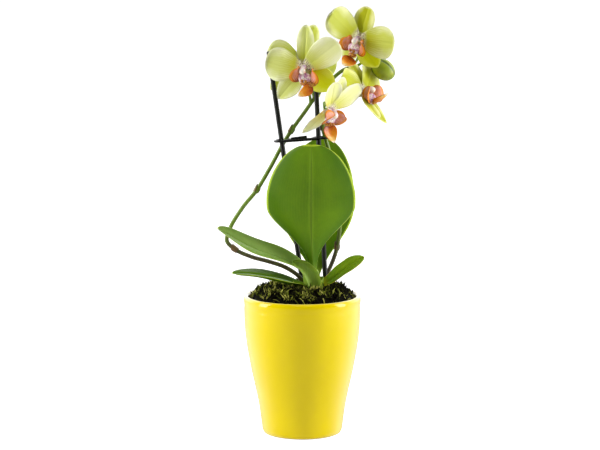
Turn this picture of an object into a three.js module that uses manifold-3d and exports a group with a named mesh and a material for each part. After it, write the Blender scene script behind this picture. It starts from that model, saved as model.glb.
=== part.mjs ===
// A moth orchid (Phalaenopsis) in a glazed pot, as a scene graph of named meshes.
// Units are millimetres, +Z is up, the origin is the centre of the pot's foot and the plant faces -Y.
// The plant's own pieces are leaves, flower stems, sepals, petals, lips, columns and a bud.
// They are held by a ceramic pot, a plastic grow pot, bark, moss, two stakes and a clip.

import * as THREE from "three";
import { mergeVertices } from "three/addons/utils/BufferGeometryUtils.js";
import Module from "manifold-3d";

const wasm = await Module();
wasm.setup();

// ---------------------------------------------------------------- driving dimensions

const GAP = 0.4; // clearance between pieces that touch
const DEG = Math.PI / 180;

const POT = { height: 130, rimRadius: 54.5, footRadius: 36.2, wall: 4.5, floor: 6, sides: 36 };
const GROW_POT = { top: 123.4, topRadius: 46.5, flange: 2.2, baseRadius: 29.5, wall: 1.2, sides: 28 };
const BARK = { top: 122.4 };
const MOSS = { bottom: 123.9, edgeHeight: 1.6, radius: 48.6, crown: 137.6, lump: 1.2, sides: 26, rings: 6 };
const CROWN = { x: 10.5, y: -1.5, bottom: 104, top: 156, radius: 7.6 };
const CLIP = { height: 274.6, slope: 0.073 };
const STAKE = { radius: 2.2, bottom: 24, y: 8 };
const STEM_RADIUS = 2;
const JOINT_RADIUS = 2.3;
const JOINT_HALF_LENGTH = 3.6;
const PEDICEL_RADIUS = 1.2;
const ROOT_RADIUS = 2.3;
const TEPAL_THICKNESS = 1.0;

// ---------------------------------------------------------------- materials

// A finish with a colour, a roughness and no metal.
function finish(color, roughness) {
  return new THREE.MeshStandardMaterial({ color, roughness, metalness: 0 });
}

const FINISH = {
  glaze: finish(0xf2da00, 0.12),
  growPlastic: finish(0x6f7470, 0.35),
  bark: finish(0x4a3322, 0.9),
  moss: finish(0x4b4a1c, 0.95),
  leaf: finish(0x4f7d1c, 0.4),
  stem: finish(0x59701c, 0.5),
  root: finish(0xb9bf9a, 0.7),
  stake: finish(0x17171a, 0.35),
  clip: finish(0x1d1f26, 0.3),
  tepal: finish(0xdde48c, 0.5),
  lip: finish(0xe07a3c, 0.45),
  column: finish(0xe9dbe3, 0.4),
  bud: finish(0xa3b83a, 0.45),
};

// ---------------------------------------------------------------- solids

// A closed geometry as a manifold-3d solid.
function solidOf(geometry) {
  const bare = geometry.clone();
  bare.deleteAttribute("normal");
  bare.deleteAttribute("uv");
  const merged = mergeVertices(bare, 1e-3);
  return new wasm.Manifold(
    new wasm.Mesh({
      numProp: 3,
      vertProperties: merged.attributes.position.array,
      triVerts: new Uint32Array(merged.index.array),
    }),
  );
}

// A manifold-3d solid as a three.js geometry.
function geometryOf(solid) {
  const mesh = solid.getMesh();
  const geometry = new THREE.BufferGeometry();
  geometry.setAttribute("position", new THREE.BufferAttribute(mesh.vertProperties, 3));
  geometry.setIndex(new THREE.BufferAttribute(mesh.triVerts, 1));
  geometry.computeVertexNormals();
  return geometry;
}

// Several overlapping geometries joined into one.
function joined(geometries) {
  return geometryOf(geometries.map(solidOf).reduce((whole, piece) => whole.add(piece)));
}

// A geometry with the others cut out of it.
function cutBy(geometry, others) {
  return geometryOf(others.map(solidOf).reduce((left, piece) => left.subtract(piece), solidOf(geometry)));
}

// Moves every vertex of a geometry through a function of its position.
function reshape(geometry, move) {
  const position = geometry.attributes.position;
  const point = new THREE.Vector3();
  for (let i = 0; i < position.count; i++) {
    point.fromBufferAttribute(position, i);
    move(point);
    position.setXYZ(i, point.x, point.y, point.z);
  }
  return geometry;
}

// A named mesh.
function piece(name, geometry, material) {
  const mesh = new THREE.Mesh(geometry, material);
  mesh.name = name;
  return mesh;
}

// ---------------------------------------------------------------- turned pieces

// A profile of [radius, height] points turned about the vertical axis.
function turned(profile, sides) {
  const points = profile.map(([radius, height]) => new THREE.Vector2(radius, height));
  return new THREE.LatheGeometry(points, sides).rotateX(Math.PI / 2);
}

// The pot's outer side from foot to rim, as a smooth curve through a few radii.
const potSide = new THREE.SplineCurve([
  new THREE.Vector2(POT.footRadius + 1.2, 4),
  new THREE.Vector2(41, 29),
  new THREE.Vector2(48.6, 65),
  new THREE.Vector2(53.2, 95),
  new THREE.Vector2(POT.rimRadius, POT.height - 5),
]);

// The glazed pot: a solid floor, a curved wall and a rounded rim.
function coverPot() {
  const side = potSide.getPoints(7).map((p) => [p.x, p.y]);
  const inner = side
    .filter(([, height]) => height > POT.floor)
    .map(([radius, height]) => [radius - POT.wall, height])
    .reverse();
  const rim = POT.rimRadius;
  const lip = [
    [rim - 0.6, POT.height - 1.6],
    [rim - 2.2, POT.height],
    [rim - POT.wall + 0.8, POT.height - 0.6],
  ];
  const foot = [[0, 0], [POT.footRadius - 2, 0], [POT.footRadius, 1]];
  const well = [[inner[inner.length - 1][0] - 3, POT.floor], [0, POT.floor]];
  return turned([...foot, ...side, ...lip, ...inner, ...well], POT.sides);
}

// The grow pot's outer radius at a height.
function growPotRadius(height) {
  const share = (height - POT.floor) / (GROW_POT.top - POT.floor);
  return GROW_POT.baseRadius + share * (GROW_POT.topRadius - GROW_POT.baseRadius);
}

// The thin plastic pot that the plant grows in, with a flange at its top and drain holes in its floor.
function growPot() {
  const { top, topRadius, flange, baseRadius, wall, sides } = GROW_POT;
  const floor = POT.floor + GAP;
  const cup = turned(
    [
      [0, floor],
      [baseRadius, floor],
      [topRadius, top - wall],
      [topRadius + flange, top - wall],
      [topRadius + flange, top],
      [topRadius - wall, top],
      [baseRadius - wall, floor + wall],
      [0, floor + wall],
    ],
    sides,
  );
  const drills = [45, 135, 225, 315].map((turn) =>
    new THREE.CylinderGeometry(3, 3, 8, 8).rotateX(Math.PI / 2).translate(18, 0, floor).rotateZ(turn * DEG),
  );
  return cutBy(cup, drills);
}

// The height of the moss at a point: a low dome with lumps, falling to a thin edge.
function mossHeight(x, y) {
  const share = Math.min(1, Math.hypot(x, y) / MOSS.radius);
  const dome = (MOSS.crown - MOSS.bottom - MOSS.edgeHeight) * (1 - share ** 9);
  const lumps = Math.sin(x * 0.31 + 1.2) * Math.cos(y * 0.37) + 0.6 * Math.sin(x * 0.7 - y * 0.55);
  return MOSS.bottom + MOSS.edgeHeight + dome + MOSS.lump * lumps * (1 - share ** 3);
}

// The moss that covers the bark, before the plant and the stakes pass through it.
function mossDome() {
  const profile = [[0, MOSS.bottom], [MOSS.radius, MOSS.bottom]];
  for (let ring = 0; ring <= MOSS.rings; ring++) {
    const share = 1 - ring / MOSS.rings;
    profile.push([MOSS.radius * Math.sin((share * Math.PI) / 2), MOSS.bottom + MOSS.edgeHeight]);
  }
  return reshape(turned(profile, MOSS.sides), (point) => {
    if (point.z > MOSS.bottom) point.z = mossHeight(point.x, point.y);
  });
}

// The bark that fills the grow pot.
function barkFill() {
  const bottom = POT.floor + GAP + GROW_POT.wall + GAP;
  const inset = GROW_POT.wall + GAP;
  return turned(
    [
      [0, bottom],
      [growPotRadius(bottom) - inset, bottom],
      [growPotRadius(BARK.top) - inset, BARK.top],
      [0, BARK.top],
    ],
    GROW_POT.sides,
  );
}

// ---------------------------------------------------------------- stems, stakes and roots

// A tube of one radius along a smooth curve through the given points.
function tube(points, radius, sides = 6, step = 7) {
  const curve = new THREE.CatmullRomCurve3(points.map((p) => new THREE.Vector3(...p)), false, "centripetal");
  const section = new THREE.Shape();
  section.absarc(0, 0, radius, 0, 2 * Math.PI);
  const steps = Math.max(2, Math.round(curve.getLength() / step));
  return new THREE.ExtrudeGeometry(section, {
    steps,
    curveSegments: sides / 2,
    bevelEnabled: false,
    extrudePath: curve,
  });
}

// A ball pulled to an egg shape, for joints, buds and calluses.
function egg([x, y, z], [a, b, c], sides = 8, rings = 6) {
  return new THREE.SphereGeometry(1, sides, rings).scale(a, b, c).translate(x, y, z);
}

// The left flower stem leans out to the left, turns at a joint and crosses behind both stakes.
const LEFT_STEM = [
  [1.2, 2.6, 141],
  [-3.5, 1.5, 147.5],
  [-16, 3, 155.6],
  [-32, 5, 160.8],
  [-47, 7, 164.6],
  [-62, 8, 171.2],
  [-70.2, 9, 179.4],
  [-67.4, 10, 191],
  [-55.2, 11, 211],
  [-42.6, 12, 226.4],
  [-30, 12.5, 247.4],
  [-17.9, 12.8, 269.8],
  [-10.4, 13, 281.9],
  [1.6, 13, 298.6],
  [14.6, 12.9, 316.7],
  [26.6, 14, 329],
  [38.6, 16.5, 338.5],
  [52, 19, 341.5],
];
const LEFT_STEM_JOINTS = [
  [-62, 8, 171.2],
  [-42.6, 12, 226.4],
  [-10.4, 13, 281.9],
];

// The right flower stem stands close behind the right stake, bowed out behind the leaves.
const RIGHT_STEM = [
  [15.4, 7.6, 131],
  [17.6, 12.4, 137.5],
  [22.2, 13.6, 146],
  [28.4, 14, 159.3],
  [32.4, 14, 172.2],
  [35, 14.5, 190],
  [35.6, 14.5, 212.3],
  [29.5, 14, 247],
  [22.4, 12.6, 271.7],
  [19.2, 12.2, 284.8],
  [20.5, 9.6, 297],
  [26, 6.4, 307],
];
const RIGHT_STEM_JOINTS = [
  [32.4, 14, 172.2],
  [19.2, 12.2, 284.8],
];

// A flower stem with its swollen joints and the thin stalks that carry the flowers.
function flowerStem(route, joints, stalks, grow = 0) {
  const parts = [tube(route, STEM_RADIUS + grow)];
  for (const joint of joints) {
    parts.push(egg(joint, [JOINT_RADIUS + grow, JOINT_RADIUS + grow, JOINT_HALF_LENGTH + grow]));
  }
  for (const stalk of stalks) parts.push(tube(stalk, PEDICEL_RADIUS + grow, 6, 4));
  return joined(parts);
}

// A straight plastic stake from its foot in the bark to its top, in the plane of both stakes.
function stake([xTop, zTop], [xLow, zLow], grow = 0) {
  const top = new THREE.Vector3(xTop, STAKE.y, zTop + grow);
  const along = new THREE.Vector3(xTop - xLow, 0, zTop - zLow).normalize();
  const foot = top.clone().addScaledVector(along, (STAKE.bottom - grow - top.z) / along.z);
  const length = top.distanceTo(foot);
  const radius = STAKE.radius + grow;
  const rod = new THREE.CylinderGeometry(radius, radius, length, 12);
  rod.applyQuaternion(new THREE.Quaternion().setFromUnitVectors(new THREE.Vector3(0, 1, 0), along));
  const middle = top.add(foot).multiplyScalar(0.5);
  return rod.translate(middle.x, middle.y, middle.z);
}
const LEFT_STAKE = [[-31.1, 356.3], [0.2, 139.8]];
const RIGHT_STAKE = [[11.2, 355.4], [21.7, 138.8]];

// The clip that holds the stakes and the stems: two long loops, a bar between them, a latch and its knob.
function clip() {
  const { height, slope } = CLIP;
  const bar = tube([[-18, 4.2, 0], [0, 4.2, 0], [18, 4.2, 0]], 1.4, 6, 12);
  const loops = [
    [-9.6, -25.2],
    [9.2, 26.2],
  ].map(([near, far]) => {
    const side = Math.sign(far);
    const route = [
      [near + side * 2, 4.2],
      [far - side * 3, 3.8],
      [far, 7],
      [far, 13.4],
      [far - side * 3, 17],
      [near + side * 3, 17],
      [near, 13.4],
      [near, 4.2],
    ];
    return tube(route.map(([x, y]) => [x, y, 0]), 1, 6, 3);
  });
  const latch = new THREE.BoxGeometry(15, 1.6, 2.6).rotateY(-0.06).translate(-3, 4.1, 2);
  const knob = egg([-20.5, 4.2, 1.6], [1.6, 1.4, 1.6]);
  return joined([bar, ...loops, latch, knob]).rotateY(-slope).translate(0, 0, height);
}

// The plant's short stem with its thick roots, which spread down through the bark.
function crownAndRoots(grow = 0) {
  const { x, y, bottom, top, radius } = CROWN;
  const stem = turned(
    [
      [0, bottom - grow],
      [radius * 0.6 + grow, bottom - grow],
      [radius * 0.9 + grow, bottom + 14],
      [radius + grow, top - 18],
      [radius * 0.85 + grow, top - 9],
      [radius * 0.5 + grow, top - 1.5],
      [0, top + grow],
    ],
    12,
  ).translate(x, y, 0);
  const headings = [172, 214, 256, 298, 340];
  const roots = headings.map((heading, i) => {
    const along = new THREE.Vector2(Math.cos(heading * DEG), Math.sin(heading * DEG));
    const drop = 34 + 9 * (i % 3);
    const at = (reach, height) => [x + along.x * reach, y + along.y * reach, height];
    const route = [
      at(2, bottom + 6),
      at(12, bottom + 2 - drop * 0.1),
      at(18 + (i % 2) * 3, bottom - drop * 0.5),
      at(16, bottom - drop),
      at(12 - (i % 2) * 4, bottom - drop * 1.5),
    ];
    return tube(route, ROOT_RADIUS + grow, 6, 10);
  });
  return joined([stem, ...roots]);
}

// ---------------------------------------------------------------- leaves

// A leaf is a thick strip along its midrib. Its two halves fold up from the midrib, most at the base,
// and curl along their margins. `up` is the way that its upper face looks at the base.
function leaf({ midrib, up, halfWidth, petiole, widest = 0.52, rise = 1.35, fold, curl, thick = 1.8 }) {
  const curve = new THREE.CatmullRomCurve3(midrib.map((p) => new THREE.Vector3(...p)), false, "centripetal");
  const upper = new THREE.Vector3(...up);
  const strip = new THREE.BoxGeometry(2, 1, 1, 4, 1, 12);
  return reshape(strip, (point) => {
    const t = Math.sin(((point.z + 0.5) * Math.PI) / 2) * 0.992;
    const width = leafHalfWidth(t, halfWidth, petiole, widest, rise);
    const centre = curve.getPointAt(t);
    const along = curve.getTangentAt(t);
    const side = new THREE.Vector3().crossVectors(upper, along).normalize();
    const normal = new THREE.Vector3().crossVectors(along, side);
    const across = point.x * width;
    const lift = (fold[0] + (fold[1] - fold[0]) * Math.min(1, t * 1.6)) * DEG;
    const bend = lift - curl * DEG * Math.abs(point.x);
    const body = point.y * thick * (1 - 0.5 * Math.abs(point.x));
    centre.addScaledVector(side, across * Math.cos(bend) - Math.sign(point.x) * body * Math.sin(bend));
    centre.addScaledVector(normal, Math.abs(across) * Math.sin(bend) + body * Math.cos(bend));
    point.copy(centre);
  });
}

// Half the width of a leaf at a share t of its length: a stalk, a swelling and a round tip.
function leafHalfWidth(t, halfWidth, petiole, widest, rise) {
  if (t < widest) return petiole + (halfWidth - petiole) * Math.sin((Math.PI / 2) * (t / widest)) ** rise;
  return halfWidth * Math.sqrt(1 - ((t - widest) / (1 - widest)) ** 2);
}

const LEAVES = {
  leaf_front: {
    midrib: [
      [10.6, -10.5, 145],
      [9.8, -12, 159],
      [8.6, -17, 182],
      [8, -25, 215],
      [8.2, -33, 248],
      [8, -38, 274.5],
    ],
    up: [0, 1, 0.15],
    halfWidth: 43.5,
    petiole: 4.2,
    widest: 0.5,
    rise: 4,
    fold: [22, 2],
    curl: -14,
  },
  leaf_back: {
    midrib: [
      [12, 7.2, 144],
      [12.6, 17, 156],
      [12.6, 27, 176],
      [13.6, 36, 206],
      [17.6, 44, 243],
      [21.4, 50, 271.5],
    ],
    up: [0, -1, 0.2],
    halfWidth: 35,
    petiole: 4,
    rise: 1.8,
    fold: [20, 6],
    curl: 10,
  },
  leaf_left_long: {
    midrib: [
      [3.6, -6, 151.4],
      [-6, -10, 158.6],
      [-23, -14, 166.6],
      [-40, -18, 173.8],
      [-56, -21, 182],
      [-78, -25, 196.4],
    ],
    up: [0, -0.5, 1],
    halfWidth: 13.6,
    petiole: 6,
    widest: 0.45,
    rise: 0.8,
    fold: [38, 26],
    curl: 8,
  },
  leaf_left_low: {
    midrib: [
      [0.8, -9, 139.6],
      [-9, -12, 142],
      [-24, -16, 146.6],
      [-40, -20, 151],
      [-64.5, -26, 154.4],
    ],
    up: [0, -0.2, 1],
    halfWidth: 12,
    petiole: 5,
    widest: 0.45,
    rise: 0.9,
    fold: [44, 30],
    curl: 14,
  },
  leaf_right_short: {
    midrib: [
      [20.6, -2.5, 140],
      [29, -3, 146],
      [38, -2.4, 153.6],
      [48, -0.6, 161],
      [57.4, 1.6, 165.6],
    ],
    up: [-0.45, -0.75, 0.6],
    halfWidth: 8,
    petiole: 4.4,
    widest: 0.6,
    rise: 0.8,
    fold: [40, 18],
    curl: 6,
    thick: 1.6,
  },
};

// ---------------------------------------------------------------- flowers

// A lens bent along its length and cupped across it. It starts at the origin, runs towards +Z and
// shows its front towards -Y. `lift` leans it forward at its base and `bend` curves it further forward.
// `waist` narrows its base and `taper` its tip.
function blade(shape) {
  const { length, width, lift = 0, bend = 0, cup = 0, waist = 0, taper = 0 } = shape;
  const { thick = TEPAL_THICKNESS, sides = 14 } = shape;
  return reshape(new THREE.SphereGeometry(1, sides, 6), (point) => {
    const t = (1 + point.z) / 2;
    const across = point.x * (1 - waist * (1 - t) ** 2) * (1 - taper * t * t);
    const lean = lift * DEG;
    const turn = bend * DEG || 1e-6;
    const angle = lean + turn * t;
    const forward = (length / turn) * (Math.cos(lean) - Math.cos(angle));
    const reach = (length / turn) * (Math.sin(angle) - Math.sin(lean));
    const depth = (point.y * thick) / 2 - cup * across * across;
    point.set((across * width) / 2, -forward + depth * Math.cos(angle), reach + depth * Math.sin(angle));
  });
}

// The lip: two side lobes that cup the column, a middle lobe that hangs forward, and a callus between.
// `shift` moves it to the right and `turn` rolls it. `tongue` rolls its middle lobe, `wide` is the lobe's
// width, `aside` and `drop` move it right and down, and `pitch` swings it from forward (90) to down (180).
function lip({ shift = 0, turn = 0, tongue = 0, wide = 14.5, aside = 0, drop = 0, pitch = 130 }) {
  const sideLobe = (side) =>
    blade({ length: 16, width: 14.5, lift: 6, bend: 62, cup: -3.6, thick: 1.6, sides: 8 })
      .rotateZ(-side * 42 * DEG)
      .rotateY(side * 40 * DEG)
      .translate(side * 3.8, -6.2, -10.4);
  const middle = blade({ length: 18, width: wide, bend: -22, cup: -2, taper: 0.3, thick: 2, sides: 8 })
    .rotateX(pitch * DEG)
    .rotateY(tongue * DEG)
    .translate(aside, -7.4, -12 - drop);
  const callusRadii = [5.6 + Math.abs(aside) / 2, 3.2, 4 + drop / 2];
  const callus = egg([aside / 2, -6.8, -9.4 - drop / 2], callusRadii, 8, 6);
  return joined([sideLobe(-1), sideLobe(1), middle, callus]).rotateY(turn * DEG).translate(shift, 0, 0);
}

// The column: a short arched finger over the lip, with a rounded cap.
function column() {
  const finger = tube([[0, -1.2, 1.6], [0, -5, 2], [0, -9, 0.6]], 2.3, 8, 3);
  return joined([finger, egg([0, -9.8, -0.4], [2.8, 2.4, 2.8])]);
}

const SEPAL = { bend: -12, cup: 0.8, waist: 0.35, sides: 12 };
const PETAL = { bend: -4, cup: 1.4, waist: 0.3 };

// One flower: three sepals behind, two broad petals in front of them, a column and a lip.
// `low` turns the two lower sepals and `wing` the two petals away from the upper sepal, left then right.
function flower(name, { at, yaw, nod, roll, upper, lower, petals, low, wing, lipPose = {} }) {
  const group = new THREE.Group();
  const add = (suffix, shape, turn, reach, depth) => {
    const mesh = piece(`${name}_${suffix}`, blade(shape), FINISH.tepal);
    mesh.rotation.y = turn * DEG;
    mesh.position.set(reach * Math.sin(turn * DEG), depth, reach * Math.cos(turn * DEG));
    group.add(mesh);
  };
  add("dorsal_sepal", { ...SEPAL, ...upper }, 0, 3, 1.6);
  add("left_sepal", { ...SEPAL, ...lower[0] }, -low[0], 3, 1.6);
  add("right_sepal", { ...SEPAL, ...lower[1] }, low[1], 3, 1.6);
  add("left_petal", { ...PETAL, ...petals[0] }, -wing[0], 7, -0.6);
  add("right_petal", { ...PETAL, ...petals[1] }, wing[1], 7, -0.6);
  group.add(piece(`${name}_lip`, lip(lipPose), FINISH.lip), piece(`${name}_column`, column(), FINISH.column));
  group.position.set(...at);
  group.rotation.set(nod * DEG, roll * DEG, yaw * DEG, "ZXY");
  return group;
}

const FLOWERS = {
  flower_left: {
    at: [1.6, -15, 342],
    yaw: -10,
    nod: 12,
    roll: 4,
    upper: { length: 37, width: 16.5 },
    lower: [{ length: 37, width: 20, bend: -8 }, { length: 31, width: 25, bend: -8 }],
    petals: [{ length: 29, width: 32 }, { length: 34, width: 27 }],
    low: [144, 122],
    wing: [84, 49],
    lipPose: { shift: 2.4, turn: 4, tongue: 58, wide: 11, aside: 8, drop: 2, pitch: 146 },
  },
  flower_top: {
    at: [52, 8, 367],
    yaw: -26,
    nod: 8,
    roll: 18,
    upper: { length: 28.5, width: 21 },
    lower: [{ length: 26, width: 16 }, { length: 28, width: 24 }],
    petals: [{ length: 29.5, width: 31 }, { length: 29, width: 31 }],
    low: [158, 131],
    wing: [66, 77],
    lipPose: { tongue: 16, aside: 1, drop: 5, pitch: 112 },
  },
  flower_low: {
    at: [24.5, -24, 305.6],
    yaw: 42,
    nod: 36,
    roll: 8,
    upper: { length: 30, width: 17, bend: -20 },
    lower: [{ length: 32, width: 18, bend: -20 }, { length: 24, width: 13, bend: -20 }],
    petals: [{ length: 27, width: 18 }, { length: 29, width: 28 }],
    low: [170, 134],
    wing: [28, 36],
    lipPose: { shift: 2, tongue: -28, aside: -1.5, pitch: 140 },
  },
  flower_right: {
    at: [57, 4, 318],
    yaw: 55,
    nod: -20,
    roll: 0,
    upper: { length: 29, width: 21 },
    lower: [
      { length: 30, width: 19, lift: 27, bend: 6, cup: 0.6 },
      { length: 33, width: 15, lift: 12, bend: 6, cup: 0.6 },
    ],
    petals: [{ length: 27, width: 29 }, { length: 26, width: 29 }],
    low: [164, 160],
    wing: [60, 52],
    lipPose: { pitch: 88 },
  },
  flower_rear: {
    at: [-0.5, 29, 344],
    yaw: -160,
    nod: 4,
    roll: -20,
    upper: { length: 34, width: 18 },
    lower: [{ length: 33, width: 18 }, { length: 38, width: 20 }],
    petals: [{ length: 28, width: 30 }, { length: 28, width: 30 }],
    low: [135, 146],
    wing: [70, 92],
  },
};

const LEFT_STALKS = [
  [[8, 13, 307.5], [6, 8, 320], [3, -2, 333], [1.7, -11, 341]],
  [[11, 13, 312], [9, 18, 321], [3, 22, 332], [-2.6, 24.6, 342]],
  [[46, 16.6, 340.5], [52, 22, 350], [52.6, 19, 362], [50.8, 12.4, 366.6]],
  [[50, 18.8, 341.4], [57, 20.4, 345.2], [63.4, 21.2, 346]],
];
const RIGHT_STALKS = [
  [[20, 10.8, 293.5], [20.6, 3, 302], [20, -8, 310], [22.4, -19.8, 308.6]],
  [[24, 7.6, 303.6], [33, 10, 312], [44, 8, 318], [51.6, 4, 317.4]],
];

// The bud, an egg that points to the lower right, clear of the end of its stalk.
function bud() {
  return egg([0, 0, 0], [9.5, 9, 12.2], 14, 8)
    .rotateY(128 * DEG)
    .translate(75, 21.5, 338.5);
}

// ---------------------------------------------------------------- the whole plant

// Everything that passes through the moss and the bark, grown by the clearance.
const passing = [
  crownAndRoots(GAP),
  stake(...LEFT_STAKE, GAP),
  stake(...RIGHT_STAKE, GAP),
  tube(LEFT_STEM.slice(0, 4), STEM_RADIUS + GAP),
  tube(RIGHT_STEM.slice(0, 4), STEM_RADIUS + GAP),
];

const orchid = new THREE.Group();
orchid.add(
  piece("cover_pot", coverPot(), FINISH.glaze),
  piece("grow_pot", growPot(), FINISH.growPlastic),
  piece("bark_mix", cutBy(barkFill(), passing), FINISH.bark),
  piece("moss_cushion", cutBy(mossDome(), passing), FINISH.moss),
  piece("plant_stem_and_roots", crownAndRoots(), FINISH.root),
  piece("stake_left", stake(...LEFT_STAKE), FINISH.stake),
  piece("stake_right", stake(...RIGHT_STAKE), FINISH.stake),
  piece("stake_clip", clip(), FINISH.clip),
  piece("flower_stem_left", flowerStem(LEFT_STEM, LEFT_STEM_JOINTS, LEFT_STALKS), FINISH.stem),
  piece("flower_stem_right", flowerStem(RIGHT_STEM, RIGHT_STEM_JOINTS, RIGHT_STALKS), FINISH.stem),
  piece("bud", bud(), FINISH.bud),
);
for (const [name, shape] of Object.entries(LEAVES)) orchid.add(piece(name, leaf(shape), FINISH.leaf));
for (const [name, shape] of Object.entries(FLOWERS)) orchid.add(flower(name, shape));

export default orchid;
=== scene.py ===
"""A potted moth orchid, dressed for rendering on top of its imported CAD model.

The plant's and the pots' lengths are in millimetres until Piece.finish turns a mesh into metres. The
studio's lengths and the shaders' Subsurface Scale are in metres. Angles are in degrees where not said.
"""

import logging
import math
import random
from dataclasses import dataclass, field, replace
from enum import Enum, IntEnum
from typing import Callable, Sequence

import bmesh
import bpy
from mathutils import Matrix, Vector, noise


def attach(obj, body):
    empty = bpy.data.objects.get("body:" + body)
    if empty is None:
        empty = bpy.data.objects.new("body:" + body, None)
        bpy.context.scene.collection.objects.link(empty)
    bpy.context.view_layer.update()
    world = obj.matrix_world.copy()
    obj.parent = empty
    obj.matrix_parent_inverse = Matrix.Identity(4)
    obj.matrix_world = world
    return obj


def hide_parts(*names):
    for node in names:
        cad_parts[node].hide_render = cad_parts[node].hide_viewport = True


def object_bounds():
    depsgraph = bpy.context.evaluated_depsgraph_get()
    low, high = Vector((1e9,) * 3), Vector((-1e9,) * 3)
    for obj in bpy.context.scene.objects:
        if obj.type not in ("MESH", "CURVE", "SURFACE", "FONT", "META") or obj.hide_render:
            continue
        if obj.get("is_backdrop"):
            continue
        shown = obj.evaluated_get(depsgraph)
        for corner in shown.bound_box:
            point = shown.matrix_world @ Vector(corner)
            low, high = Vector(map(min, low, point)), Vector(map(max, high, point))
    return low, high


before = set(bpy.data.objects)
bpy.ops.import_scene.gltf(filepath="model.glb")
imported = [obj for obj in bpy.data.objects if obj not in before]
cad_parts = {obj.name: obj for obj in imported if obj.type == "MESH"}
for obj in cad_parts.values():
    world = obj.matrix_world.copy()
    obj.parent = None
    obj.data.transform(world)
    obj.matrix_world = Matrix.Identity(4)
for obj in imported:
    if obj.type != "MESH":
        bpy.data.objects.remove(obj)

CAD_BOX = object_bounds()
log = logging.getLogger("orchid")

MM = 0.001
BODY = "root"
UP = Vector((0, 0, 1))

Colour = tuple[float, float, float]
Sheet = Callable[[float, float], tuple[Vector, Vector, float]]


def colour(code: str) -> Colour:
    """Turns a screen colour such as "F0DC00" into linear red, green and blue."""
    parts = [int(code[i : i + 2], 16) / 255 for i in (0, 2, 4)]
    return tuple(c / 12.92 if c <= 0.04045 else ((c + 0.055) / 1.055) ** 2.4 for c in parts)


def smooth(low: float, high: float, value: float) -> float:
    """Eases from 0 at low to 1 at high."""
    share = min(1.0, max(0.0, (value - low) / (high - low)))
    return share * share * (3 - 2 * share)


def ease(row: float) -> float:
    """Turns a grid row from -1..1 into a share from 0 to 1 whose steps are finest at both ends."""
    return (1 - math.cos(math.pi * (row + 1) / 2)) / 2


def rounded(share: float, start: float) -> float:
    """Stays 1 up to a start and then falls to 0 at share 1, as a quarter of an ellipse."""
    return math.sqrt(max(0.0, 1 - max(0.0, (share - start) / (1 - start)) ** 2))


def hill(distance: float, width: float) -> float:
    """Gives a soft hill that is 1 at no distance and falls away over a width."""
    return math.exp(-((distance / width) ** 2))


def thinned(u: float, power: float) -> float:
    """Rounds a blade's thickness off towards its two margins."""
    return math.sqrt(max(0.0, 1 - u**power))


def turned(degrees: float, axis: str) -> Matrix:
    """Gives a turn about an axis."""
    return Matrix.Rotation(math.radians(degrees), 4, axis)


def around(angle: float, reach: float, height: float = 0.0) -> Vector:
    """Gives a point from its angle about the vertical, its reach and its height."""
    return Vector((reach * math.cos(angle), reach * math.sin(angle), height))


def bent(length: float, lift: float, bend: float, t: float) -> tuple[float, float, Vector]:
    """Follows an arc that leaves upwards and bends forward.

    Args:
        length: the length of the arc.
        lift: how far it leans forward at its start, in radians.
        bend: how far it turns over its length, in radians.
        t: the share of the length.

    Returns:
        How far forward and how far up the point is, and the direction that faces back.
    """
    angle = lift + bend * t
    forward = length / bend * (math.cos(lift) - math.cos(angle))
    reach = length / bend * (math.sin(angle) - math.sin(lift))
    return forward, reach, Vector((0, math.cos(angle), math.sin(angle)))


# ---------------------------------------------------------------- meshes


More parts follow.
